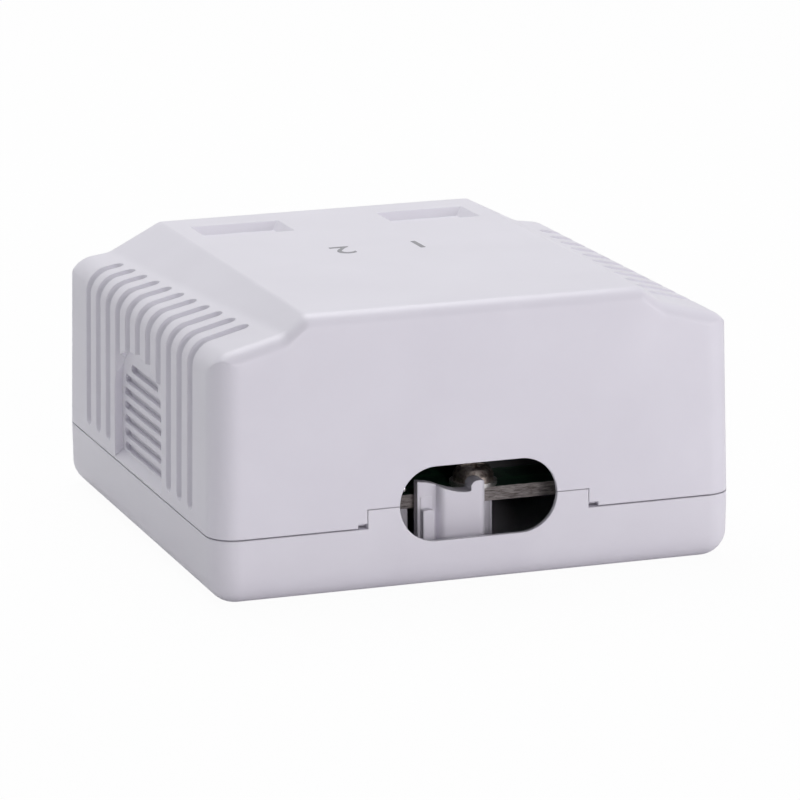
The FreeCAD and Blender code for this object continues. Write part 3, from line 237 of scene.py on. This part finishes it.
def cut_out(piece, cutter):
    """Takes the cutter's volume out of the piece, and the cutter away."""
    pick(piece)
    taken = piece.modifiers.new("taken", "BOOLEAN")
    taken.operation = "DIFFERENCE"
    taken.solver = "EXACT"
    taken.object = cutter
    bpy.ops.object.modifier_apply(modifier="taken")
    bpy.data.objects.remove(cutter, do_unlink=True)


def stand_in(piece, node_name, body, material):
    """The finished piece takes the CAD node's place and rides on its body."""
    pick(piece)
    bpy.ops.object.shade_smooth_by_angle(angle=SHELL_SMOOTH)
    finish_piece(piece, material)
    for face in piece.data.polygons:
        face.material_index = 0
    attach(piece, body)
    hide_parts(node_name)


# The top of the strain relief post dips from its outer side to the prong, which
# keeps the cable tie from slipping off. Places across and heights are in mm.
NOTCH_HEIGHTS = [(-0.35, 9.95), (-0.15, 9.86), (0.4, 9.85), (1.1, 9.93), (1.9, 10.12),
                 (2.8, 10.45), (3.7, 10.82), (4.6, 11.08), (5.4, 11.2), (6.4, 11.3)]
PRONG_HEIGHTS = [(-3.2, 10.5), (-2.2, 10.6), (-2.0, 10.88), (-1.7, 11.03), (-1.3, 11.08),
                 (-0.9, 11.03), (-0.6, 10.88), (-0.4, 10.6), (-0.3, 10.5)]
RIB_HEIGHTS = [(3.95, 7.9), (4.2, 8.08), (4.75, 8.15), (5.3, 8.08), (5.6, 7.9)]
POST_BACK = 24.0 * MM
POST_FRONT = 28.0 * MM
RIB_BACK = 25.95 * MM
CUTTER_MIDDLE = 12.5 * MM
CUTTER_TALL = 2 * MM
PLACE_DIGITS = 7


def notch_cutter(heights, y_back, y_front):
    """A block above a line of heights, from y_back to y_front."""
    bpy.ops.object.select_all(action="DESELECT")
    bpy.ops.mesh.primitive_grid_add(
        x_subdivisions=len(heights) - 1, y_subdivisions=1, size=CUTTER_TALL,
        location=(0, y_back, CUTTER_MIDDLE), rotation=(math.radians(90), 0, 0))
    cutter = bpy.context.object
    bpy.ops.object.transform_apply(location=True, rotation=True, scale=True)
    bpy.ops.object.mode_set(mode="EDIT")
    mesh = bmesh.from_edit_mesh(cutter.data)
    columns = {}
    for corner in mesh.verts:
        columns.setdefault(round(corner.co.x, PLACE_DIGITS), []).append(corner)
    for place, (x, z) in zip(sorted(columns), heights):
        for corner in columns[place]:
            corner.co.x = x * MM
            if corner.co.z < CUTTER_MIDDLE:
                corner.co.z = z * MM
    bmesh.update_edit_mesh(cutter.data)
    bpy.ops.mesh.select_all(action="SELECT")
    bpy.ops.mesh.extrude_region_move(
        TRANSFORM_OT_translate={"value": (0, y_front - y_back, 0)})
    bpy.ops.mesh.select_all(action="SELECT")
    bpy.ops.mesh.normals_make_consistent(inside=False)
    bpy.ops.object.mode_set(mode="OBJECT")
    return cutter


base_white = moulded_plastic(
    "base_white", shade=(0.735, 0.715, 0.775), thin_shade=(0.760, 0.742, 0.800),
    edge_highlight_colour=(0.80, 0.785, 0.84), gloss=(0.32, 0.42), peel=1100.0, edge_radius=0.00025)
finish_node("base_shell", base_white)
base = own_copy("base_shell", "base_moulding")
cut_out(base, notch_cutter(NOTCH_HEIGHTS, POST_BACK, POST_FRONT))
cut_out(base, notch_cutter(PRONG_HEIGHTS, POST_BACK, POST_FRONT))
cut_out(base, notch_cutter(RIB_HEIGHTS, RIB_BACK, POST_FRONT))
stand_in(base, "base_shell", "base", base_white)

# --------------------------------------------------------------- circuit board
# The board is 1.6 mm glass laminate with dark solder mask on both faces and rough
# sawn edges. It lies on the base's posts and ribs, held by two screws.
board_low, board_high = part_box("circuit_board")


def board_laminate():
    """Solder mask with faint tracks under it on the faces, fibrous laminate on the edges."""
    material, tree, shader = new_material("board_laminate")
    place = node(tree, "ShaderNodeTexCoord")
    facing = node(tree, "ShaderNodeNewGeometry")
    upright = node(tree, "ShaderNodeSeparateXYZ")
    size_up = node(tree, "ShaderNodeMath", operation="ABSOLUTE")
    face = node(tree, "ShaderNodeMapRange", values={"From Min": 0.5, "From Max": 0.8})
    tracks = node(tree, "ShaderNodeTexBrick", offset=0.37, squash=1.6, squash_frequency=3,
                  values={"Scale": 100.0, "Mortar Size": 0.055, "Mortar Smooth": 0.2,
                          "Brick Width": 1.9, "Row Height": 0.42})
    tracks.inputs["Color1"].default_value = (0.010, 0.040, 0.024, 1)
    tracks.inputs["Color2"].default_value = (0.013, 0.048, 0.028, 1)
    tracks.inputs["Mortar"].default_value = (0.026, 0.090, 0.048, 1)
    stretch = node(tree, "ShaderNodeMapping", vector_type="TEXTURE")
    stretch.inputs["Scale"].default_value = (2.6, 2.6, 0.35)
    fibre = node(tree, "ShaderNodeTexNoise",
                 values={"Scale": 2300.0, "Detail": 4.0, "Roughness": 0.72})
    weave = node(tree, "ShaderNodeMapRange", values={"From Min": 0.36, "From Max": 0.66})
    edge = node(tree, "ShaderNodeMix", data_type="RGBA")
    edge.inputs["A"].default_value = (0.13, 0.112, 0.105, 1)
    edge.inputs["B"].default_value = (0.52, 0.475, 0.46, 1)
    colour = node(tree, "ShaderNodeMix", data_type="RGBA")
    rough = node(tree, "ShaderNodeMapRange", values={"To Min": 0.85, "To Max": 0.33})
    bump = node(tree, "ShaderNodeBump", values={"Strength": 0.6, "Distance": 0.00012})
    join = tree.links.new
    join(facing.outputs["Normal"], upright.inputs[0])
    join(upright.outputs["Z"], size_up.inputs[0])
    join(size_up.outputs[0], face.inputs["Value"])
    join(place.outputs["Object"], tracks.inputs["Vector"])
    join(place.outputs["Object"], stretch.inputs["Vector"])
    join(stretch.outputs["Vector"], fibre.inputs["Vector"])
    join(fibre.outputs["Fac"], weave.inputs["Value"])
    join(weave.outputs["Result"], edge.inputs["Factor"])
    join(face.outputs["Result"], colour.inputs["Factor"])
    join(edge.outputs["Result"], colour.inputs["A"])
    join(tracks.outputs["Color"], colour.inputs["B"])
    join(colour.outputs["Result"], shader.inputs["Base Color"])
    join(face.outputs["Result"], rough.inputs["Value"])
    join(rough.outputs["Result"], shader.inputs["Roughness"])
    join(fibre.outputs["Fac"], bump.inputs["Height"])
    join(bump.outputs["Normal"], shader.inputs["Normal"])
    return material


finish_node("circuit_board", board_laminate())

# -------------------------------------------------------------- solder joints
# Each contact's pin is soldered where it comes out under the board. A few more
# joints show on the board's face by its cable-side edge. They are bright tin alloy.
SOLDER_RADIUS = 0.72 * MM
JACK_SOLDER_RADIUS = 0.62 * SOLDER_RADIUS
SOLDER_HEIGHT = 0.85 * MM
SOLDER_SMOOTH = math.radians(50)
PIN_BELOW_BOARD = 0.2 * MM
# The first ring as shares of the joint's width and height, then how much the two
# rings above it narrow and rise.
FOOT_WIDTH, FOOT_DROP = 0.72, 0.62
UPPER_RINGS = [(0.62, 0.30), (0.45, 0.30)]
# Place in x and y and radius, all in mm.
EDGE_JOINTS = [(6.6, 23.2, 0.70), (8.0, 23.1, 0.80), (9.5, 23.2, 0.70)]
EDGE_JOINT_HEIGHT = 0.8 * MM


def metal(name, shade, dull, rough, scratch, worn):
    """Plated metal: two tones in small patches, fine scratches and uneven gloss."""
    material, tree, shader = new_material(name)
    shader.inputs["Metallic"].default_value = 1.0
    place = node(tree, "ShaderNodeTexCoord")
    patches = node(tree, "ShaderNodeTexNoise",
                   values={"Scale": scratch * 0.35, "Detail": 3.0, "Roughness": 0.6})
    fine = node(tree, "ShaderNodeTexNoise",
                values={"Scale": scratch, "Detail": 4.0, "Roughness": 0.7})
    ramp = node(tree, "ShaderNodeMapRange", values={"From Min": 0.38, "From Max": 0.62})
    tone = node(tree, "ShaderNodeMix", data_type="RGBA")
    tone.inputs["A"].default_value = (*dull, 1)
    tone.inputs["B"].default_value = (*shade, 1)
    gloss = node(tree, "ShaderNodeMapRange",
                 values={"From Min": 0.3, "From Max": 0.7, "To Min": rough[0], "To Max": rough[1]})
    bump = node(tree, "ShaderNodeBump", values={"Strength": worn, "Distance": 0.00005})
    join = tree.links.new
    join(place.outputs["Object"], patches.inputs["Vector"])
    join(place.outputs["Object"], fine.inputs["Vector"])
    join(patches.outputs["Fac"], ramp.inputs["Value"])
    join(ramp.outputs["Result"], tone.inputs["Factor"])
    join(tone.outputs["Result"], shader.inputs["Base Color"])
    join(fine.outputs["Fac"], gloss.inputs["Value"])
    join(gloss.outputs["Result"], shader.inputs["Roughness"])
    join(fine.outputs["Fac"], bump.inputs["Height"])
    join(bump.outputs["Normal"], shader.inputs["Normal"])
    return material


solder_tin = metal(
    "solder_tin", shade=(0.88, 0.87, 0.86), dull=(0.66, 0.65, 0.64), rough=(0.16, 0.34),
    scratch=2600.0, worn=0.25)


def solder_joint(x, y, z, radius, height, up):
    """One joint: a cone of solder drawn in to the pin, its flank hollowed and its tip closed."""
    bpy.ops.object.select_all(action="DESELECT")
    bpy.ops.mesh.primitive_cylinder_add(
        vertices=20, radius=radius, depth=height, location=(x, y, z + up * height / 2))
    joint = bpy.context.object
    bpy.ops.object.transform_apply(location=True, rotation=True, scale=True)
    bpy.ops.object.mode_set(mode="EDIT")
    mesh = bmesh.from_edit_mesh(joint.data)
    for face in mesh.faces:
        face.select_set(face.normal.z * up > FACING)
    bmesh.update_edit_mesh(joint.data)
    bpy.ops.transform.resize(value=(FOOT_WIDTH, FOOT_WIDTH, 1.0))
    bpy.ops.transform.translate(value=(0, 0, -up * height * FOOT_DROP))
    for narrowing, rise in UPPER_RINGS:
        bpy.ops.mesh.extrude_region_move(
            TRANSFORM_OT_translate={"value": (0, 0, up * height * rise)})
        bpy.ops.transform.resize(value=(narrowing, narrowing, 1.0))
    bpy.ops.object.mode_set(mode="OBJECT")
    round_off = joint.modifiers.new("round_off", "SUBSURF")
    round_off.levels = round_off.render_levels = 1
    bpy.ops.object.modifier_apply(modifier="round_off")
    bpy.ops.object.shade_smooth_by_angle(angle=SOLDER_SMOOTH)
    return joint


def copy_joint(first, x, y):
    """Another joint like the first, at a place of its own, with its own mesh."""
    joint = bpy.data.objects.new("joint", first.data.copy())
    joint.data.transform(Matrix.Translation((x, y, 0)))
    bpy.context.scene.collection.objects.link(joint)
    return joint


joints = []
punch_joint = solder_joint(0, 0, board_low.z, SOLDER_RADIUS, SOLDER_HEIGHT, -1)
jack_joint = solder_joint(0, 0, board_low.z, JACK_SOLDER_RADIUS, SOLDER_HEIGHT, -1)
for name in sorted(n for n in nodes if n.startswith(("jack_contact_", "punch_contact_"))):
    pin = [v.co for v in nodes[name].data.vertices if v.co.z < board_low.z - PIN_BELOW_BOARD]
    x = (min(p.x for p in pin) + max(p.x for p in pin)) / 2
    y = (min(p.y for p in pin) + max(p.y for p in pin)) / 2
    joints.append(copy_joint(punch_joint if name.startswith("punch") else jack_joint, x, y))
for made in (punch_joint, jack_joint):
    bpy.data.objects.remove(made, do_unlink=True)
for x, y, radius in EDGE_JOINTS:
    joints.append(
        solder_joint(x * MM, y * MM, board_high.z, radius * MM, EDGE_JOINT_HEIGHT, 1))
pick(*joints)
bpy.ops.object.join()
solder = bpy.context.object
solder.name = "solder_joints"
finish_piece(solder, solder_tin)
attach(solder, "base")

# ---------------------------------------------------------- screws and washers
# Two cross-head tapping screws hold the board, each over a plain punched washer.
# The screws are nickel plated and a little tarnished, the washers zinc plated.
screw_nickel = metal(
    "screw_nickel", shade=(0.86, 0.78, 0.70), dull=(0.50, 0.42, 0.37), rough=(0.24, 0.46),
    scratch=3600.0, worn=0.12)
washer_zinc = metal(
    "washer_zinc", shade=(0.90, 0.88, 0.86), dull=(0.70, 0.68, 0.66), rough=(0.32, 0.50),
    scratch=3000.0, worn=0.10)
for place_name in ("rear", "front"):
    finish_node("board_screw_" + place_name, screw_nickel)
    finish_node("screw_washer_" + place_name, washer_zinc)

# ---------------------------------------------------------------------- jacks
# Two modular jacks stand on the board behind the port wall. Housing and contact
# carrier are black glass-filled plastic; the eight springs of each are gold plated.
housing_black = moulded_plastic(
    "housing_black", shade=(0.020, 0.020, 0.022), thin_shade=(0.028, 0.028, 0.030),
    edge_highlight_colour=(0.06, 0.06, 0.063), gloss=(0.38, 0.55), peel=2200.0, edge_radius=0.00012)
carrier_black = moulded_plastic(
    "carrier_black", shade=(0.032, 0.032, 0.035), thin_shade=(0.040, 0.040, 0.043),
    edge_highlight_colour=(0.07, 0.07, 0.073), gloss=(0.45, 0.62), peel=2600.0, edge_radius=0.00008)
contact_gold = metal(
    "contact_gold", shade=(0.88, 0.66, 0.28), dull=(0.72, 0.50, 0.20), rough=(0.14, 0.30),
    scratch=4200.0, worn=0.2)
for side in ("left", "right"):
    finish_node("jack_housing_" + side, housing_black)
    finish_node("contact_carrier_" + side, carrier_black)
    for way in range(1, 9):
        finish_node(f"jack_contact_{side}_{way}", contact_gold)

# ----------------------------------------------------------- punch-down blocks
# Behind each jack stand two punch-down blocks, black plastic combs whose slots
# guide the wires into slit contacts of tinned bronze.
block_black = moulded_plastic(
    "block_black", shade=(0.024, 0.024, 0.026), thin_shade=(0.034, 0.034, 0.036),
    edge_highlight_colour=(0.075, 0.075, 0.078), gloss=(0.36, 0.52), peel=2400.0, edge_radius=0.00012)
contact_tin = metal(
    "contact_tin", shade=(0.80, 0.79, 0.77), dull=(0.60, 0.59, 0.57), rough=(0.22, 0.42),
    scratch=3800.0, worn=0.25)
for side in ("left", "right"):
    for row in ("front", "rear"):
        finish_node(f"punch_block_{side}_{row}", block_black)
        for way in range(1, 5):
            finish_node(f"punch_contact_{side}_{row}_{way}", contact_tin)

# ---------------------------------------------------------------- cover shell
# The cover is one moulding in the same white ABS. Its hooks snap over the base's
# catches, and it is pulled straight off.
ROOF_HALF = 21 * MM
PORT_STRIP = (-29 * MM, -24 * MM)
CABLE_STRIP = (20 * MM, 29 * MM)
CABLE_ROLL = 3 * MM
EDGE_WITHIN = 0.02 * MM
cover_white = moulded_plastic(
    "cover_white", shade=(0.735, 0.715, 0.780), thin_shade=(0.757, 0.738, 0.802),
    edge_highlight_colour=(0.80, 0.785, 0.845), gloss=(0.32, 0.42), peel=1000.0, edge_radius=0.0002)
finish_node("cover_shell", cover_white)
cover_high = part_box("cover_shell")[1]
roof_points = [v.co for v in nodes["cover_shell"].data.vertices if abs(v.co.x) < ROOF_HALF]


def roof_height(y_low, y_high):
    """Height of the flat top over a strip of the cover."""
    return max(p.z for p in roof_points if y_low <= p.y <= y_high)


port_end_height = roof_height(*PORT_STRIP) - EDGE_WITHIN
port_edge = min((p for p in roof_points if p.z > port_end_height and p.y < 0),
                key=lambda p: p.y)
roof_slope = math.atan2(roof_height(*CABLE_STRIP) - port_edge.z,
                        cover_high.y - CABLE_ROLL - port_edge.y)


def roof_at(y):
    """Height of the flat top at y."""
    return port_edge.z + (y - port_edge.y) * math.tan(roof_slope)


# Two shallow recesses near the port end take paper labels. Their floors lie 1 mm
# under the flat top and follow its slope, and their walls lean outwards.
LABEL_X = 11.7 * MM
LABEL_Y = -19.5 * MM
LABEL_WIDE = 11.2 * MM
LABEL_LONG = 6.9 * MM
LABEL_DEEP = 1.0 * MM
LABEL_OVER = 0.1 * MM
LABEL_WALL = 1.0 * MM
LABEL_CORNER = 0.9 * MM
LABEL_CORNER_STEPS = 5
bpy.ops.object.select_all(action="DESELECT")
bpy.ops.mesh.primitive_cube_add(size=1)
label = bpy.context.object
label.scale = (LABEL_WIDE, LABEL_LONG, LABEL_DEEP + LABEL_OVER)
bpy.ops.object.transform_apply(location=True, rotation=True, scale=True)
bpy.ops.object.mode_set(mode="EDIT")
label_mesh = bmesh.from_edit_mesh(label.data)
for face in label_mesh.faces:
    face.select_set(face.normal.z < -FACING)
bmesh.update_edit_mesh(label.data)
bpy.ops.transform.resize(
    value=(1 - 2 * LABEL_WALL / LABEL_WIDE, 1 - 2 * LABEL_WALL / LABEL_LONG, 1))
bpy.ops.mesh.select_all(action="DESELECT")
label_mesh = bmesh.from_edit_mesh(label.data)
for edge in label_mesh.edges:
    edge.select_set(abs(edge.verts[0].co.z - edge.verts[1].co.z) > LABEL_DEEP / 2)
bmesh.update_edit_mesh(label.data)
bpy.ops.mesh.bevel(offset=LABEL_CORNER, segments=LABEL_CORNER_STEPS)
bpy.ops.object.mode_set(mode="OBJECT")
label.data.transform(
    Matrix.Translation((LABEL_X, LABEL_Y, roof_at(LABEL_Y) + (LABEL_OVER - LABEL_DEEP) / 2))
    @ Matrix.Rotation(roof_slope, 4, "X"))
other_label = bpy.data.objects.new("other_label", label.data.copy())
other_label.data.transform(Matrix.Translation((-2 * LABEL_X, 0, 0)))
bpy.context.scene.collection.objects.link(other_label)
cover = own_copy("cover_shell", "cover_moulding")
cut_out(cover, label)
cut_out(cover, other_label)
stand_in(cover, "cover_shell", "cover", cover_white)

# --------------------------------------------------------------- port numbers
# Plain port numbers are pad printed in grey on the flat top of the cover, to be
# read from the port side. The ink is a few hundredths of a millimetre thick.
NUMBER_SIZE = 5.6 * MM
NUMBER_INK = 0.03 * MM
NUMBER_X = 4.6 * MM
NUMBER_Y = -4.8 * MM
ink_grey, ink_tree, ink_shader = new_material("ink_grey")
ink_place = node(ink_tree, "ShaderNodeTexCoord")
ink_grain = node(ink_tree, "ShaderNodeTexNoise",
                 values={"Scale": 3000.0, "Detail": 3.0, "Roughness": 0.7})
ink_tone = node(ink_tree, "ShaderNodeMix", data_type="RGBA")
ink_tone.inputs["A"].default_value = (0.21, 0.21, 0.23, 1)
ink_tone.inputs["B"].default_value = (0.31, 0.31, 0.33, 1)
ink_rough = node(ink_tree, "ShaderNodeMapRange", values={"To Min": 0.35, "To Max": 0.6})
ink_tree.links.new(ink_place.outputs["Object"], ink_grain.inputs["Vector"])
ink_tree.links.new(ink_grain.outputs["Fac"], ink_tone.inputs["Factor"])
ink_tree.links.new(ink_tone.outputs["Result"], ink_shader.inputs["Base Color"])
ink_tree.links.new(ink_grain.outputs["Fac"], ink_rough.inputs["Value"])
ink_tree.links.new(ink_rough.outputs["Result"], ink_shader.inputs["Roughness"])
for number, x in (("1", -NUMBER_X), ("2", NUMBER_X)):
    bpy.ops.object.select_all(action="DESELECT")
    bpy.ops.object.text_add()
    printed = bpy.context.object
    printed.data.body = number
    printed.data.size = NUMBER_SIZE
    printed.data.extrude = NUMBER_INK
    printed.data.align_x = "CENTER"
    printed.data.resolution_u = 6
    bpy.ops.object.convert(target="MESH")
    printed.data.transform(
        Matrix.Translation((x, NUMBER_Y, roof_at(NUMBER_Y))) @ Matrix.Rotation(roof_slope, 4, "X"))
    printed.name = "port_number_" + number
    finish_piece(printed, ink_grey)
    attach(printed, "cover")

# --------------------------------------------------------- floor, light, camera
# The box stands on a plain pale floor under soft studio light, seen from the cable
# entry's end with the grooved side to the left.
FLOOR_SIDE = 4.0
FLOOR_BELOW = 0.02 * MM
bpy.ops.object.select_all(action="DESELECT")
bpy.ops.mesh.primitive_plane_add(
    size=FLOOR_SIDE, location=(0, 0, cad_low.z - FLOOR_BELOW))
floor = bpy.context.object
floor.name = "studio_floor"
bpy.ops.object.transform_apply(location=True, rotation=True, scale=True)
floor_white, floor_tree, floor_shader = new_material("floor_white")
floor_shader.inputs["Base Color"].default_value = (0.88, 0.88, 0.88, 1)
floor_shader.inputs["Roughness"].default_value = 0.85
floor_shader.inputs["Specular IOR Level"].default_value = 0.2
floor_glow = node(floor_tree, "ShaderNodeEmission", values={"Strength": 1.0})
floor_ray = node(floor_tree, "ShaderNodeLightPath")
floor_seen = node(floor_tree, "ShaderNodeMath", operation="MULTIPLY", values={1: 0.96})
floor_mix = node(floor_tree, "ShaderNodeMixShader")
floor_out = floor_tree.nodes["Material Output"]
floor_tree.links.new(floor_ray.outputs["Is Camera Ray"], floor_seen.inputs[0])
floor_tree.links.new(floor_seen.outputs[0], floor_mix.inputs["Fac"])
floor_tree.links.new(floor_shader.outputs[0], floor_mix.inputs[1])
floor_tree.links.new(floor_glow.outputs[0], floor_mix.inputs[2])
floor_tree.links.new(floor_mix.outputs[0], floor_out.inputs["Surface"])
floor.data.materials.append(floor_white)

world = bpy.data.worlds.new("studio")
bpy.context.scene.world = world
world.use_nodes = True
sky = world.node_tree
sky_plain = sky.nodes["Background"]
sky_plain.inputs["Color"].default_value = (0.93, 0.95, 1.0, 1)
sky_plain.inputs["Strength"].default_value = 0.21
sky_seen = node(sky, "ShaderNodeBackground", values={"Strength": 1.0})
sky_ray = node(sky, "ShaderNodeLightPath")
sky_some = node(sky, "ShaderNodeMath", operation="MAXIMUM")
sky_any = node(sky, "ShaderNodeMath", operation="MAXIMUM")
sky_mix = node(sky, "ShaderNodeMixShader")
sky.links.new(sky_ray.outputs["Is Camera Ray"], sky_some.inputs[0])
sky.links.new(sky_ray.outputs["Is Glossy Ray"], sky_some.inputs[1])
sky.links.new(sky_some.outputs[0], sky_any.inputs[0])
sky.links.new(sky_ray.outputs["Is Transmission Ray"], sky_any.inputs[1])
sky.links.new(sky_any.outputs[0], sky_mix.inputs["Fac"])
sky.links.new(sky_plain.outputs[0], sky_mix.inputs[1])
sky.links.new(sky_seen.outputs[0], sky_mix.inputs[2])
sky.links.new(sky_mix.outputs[0], sky.nodes["World Output"].inputs["Surface"])


def soft_box(name, place, aim, size, power, shade=(1.0, 1.0, 1.0)):
    """A square studio lamp at a place, turned to a point."""
    lamp_data = bpy.data.lights.new(name, "AREA")
    lamp_data.shape = "SQUARE"
    lamp_data.size = size
    lamp_data.energy = power
    lamp_data.color = shade
    lamp = bpy.data.objects.new(name, lamp_data)
    bpy.context.scene.collection.objects.link(lamp)
    lamp.location = place
    lamp.rotation_euler = (Vector(aim) - Vector(place)).to_track_quat("-Z", "Y").to_euler()


soft_box("top_light", place=(0.0, -0.22, 0.60), aim=(0, 0, 0.01), size=0.55, power=3.0)
soft_box("cable_side_light", place=(-0.38, 0.36, 0.10), aim=(0, 0, 0.015),
         size=0.30, power=0.98, shade=(1.0, 0.97, 1.0))
soft_box("entry_light", place=(0.03, 0.70, 0.165), aim=(0, 0.02, 0.008),
         size=0.14, power=0.98, shade=(1.0, 0.96, 0.99))
soft_box("groove_side_light", place=(0.52, -0.45, 0.28), aim=(0, 0, 0.015),
         size=0.35, power=0.37)

# The camera stands 0.59 m away, 14 degrees up, to the side of the cable entry.
CAMERA_TURN = math.radians(160.87)
CAMERA_RISE = math.radians(14.0)
CAMERA_ROLL = math.radians(-0.33)
CAMERA_AWAY = 585.12 * MM
CAMERA_SIDE = 1.18 * MM
CAMERA_UP = 0.17 * MM
CAMERA_AIM = Vector((0, 0, 14 * MM))
back = Vector((math.sin(CAMERA_TURN) * math.cos(CAMERA_RISE),
               -math.cos(CAMERA_TURN) * math.cos(CAMERA_RISE), math.sin(CAMERA_RISE)))
level = Vector((math.cos(CAMERA_TURN), math.sin(CAMERA_TURN), 0))
raised = back.cross(level)
across = math.cos(CAMERA_ROLL) * level + math.sin(CAMERA_ROLL) * raised
upwards = -math.sin(CAMERA_ROLL) * level + math.cos(CAMERA_ROLL) * raised
eye = CAMERA_AIM + back * CAMERA_AWAY + across * CAMERA_SIDE + upwards * CAMERA_UP
camera_data = bpy.data.cameras.new("camera")
camera_data.lens = 225.0
camera_data.sensor_width = 36.0
camera_data.clip_start = 0.01
camera_data.clip_end = 10.0
camera = bpy.data.objects.new("camera", camera_data)
bpy.context.scene.collection.objects.link(camera)
camera.matrix_world = Matrix((
    (across.x, upwards.x, back.x, eye.x),
    (across.y, upwards.y, back.y, eye.y),
    (across.z, upwards.z, back.z, eye.z),
    (0, 0, 0, 1)))
bpy.context.scene.camera = camera
bpy.context.scene.view_settings.view_transform = "Standard"
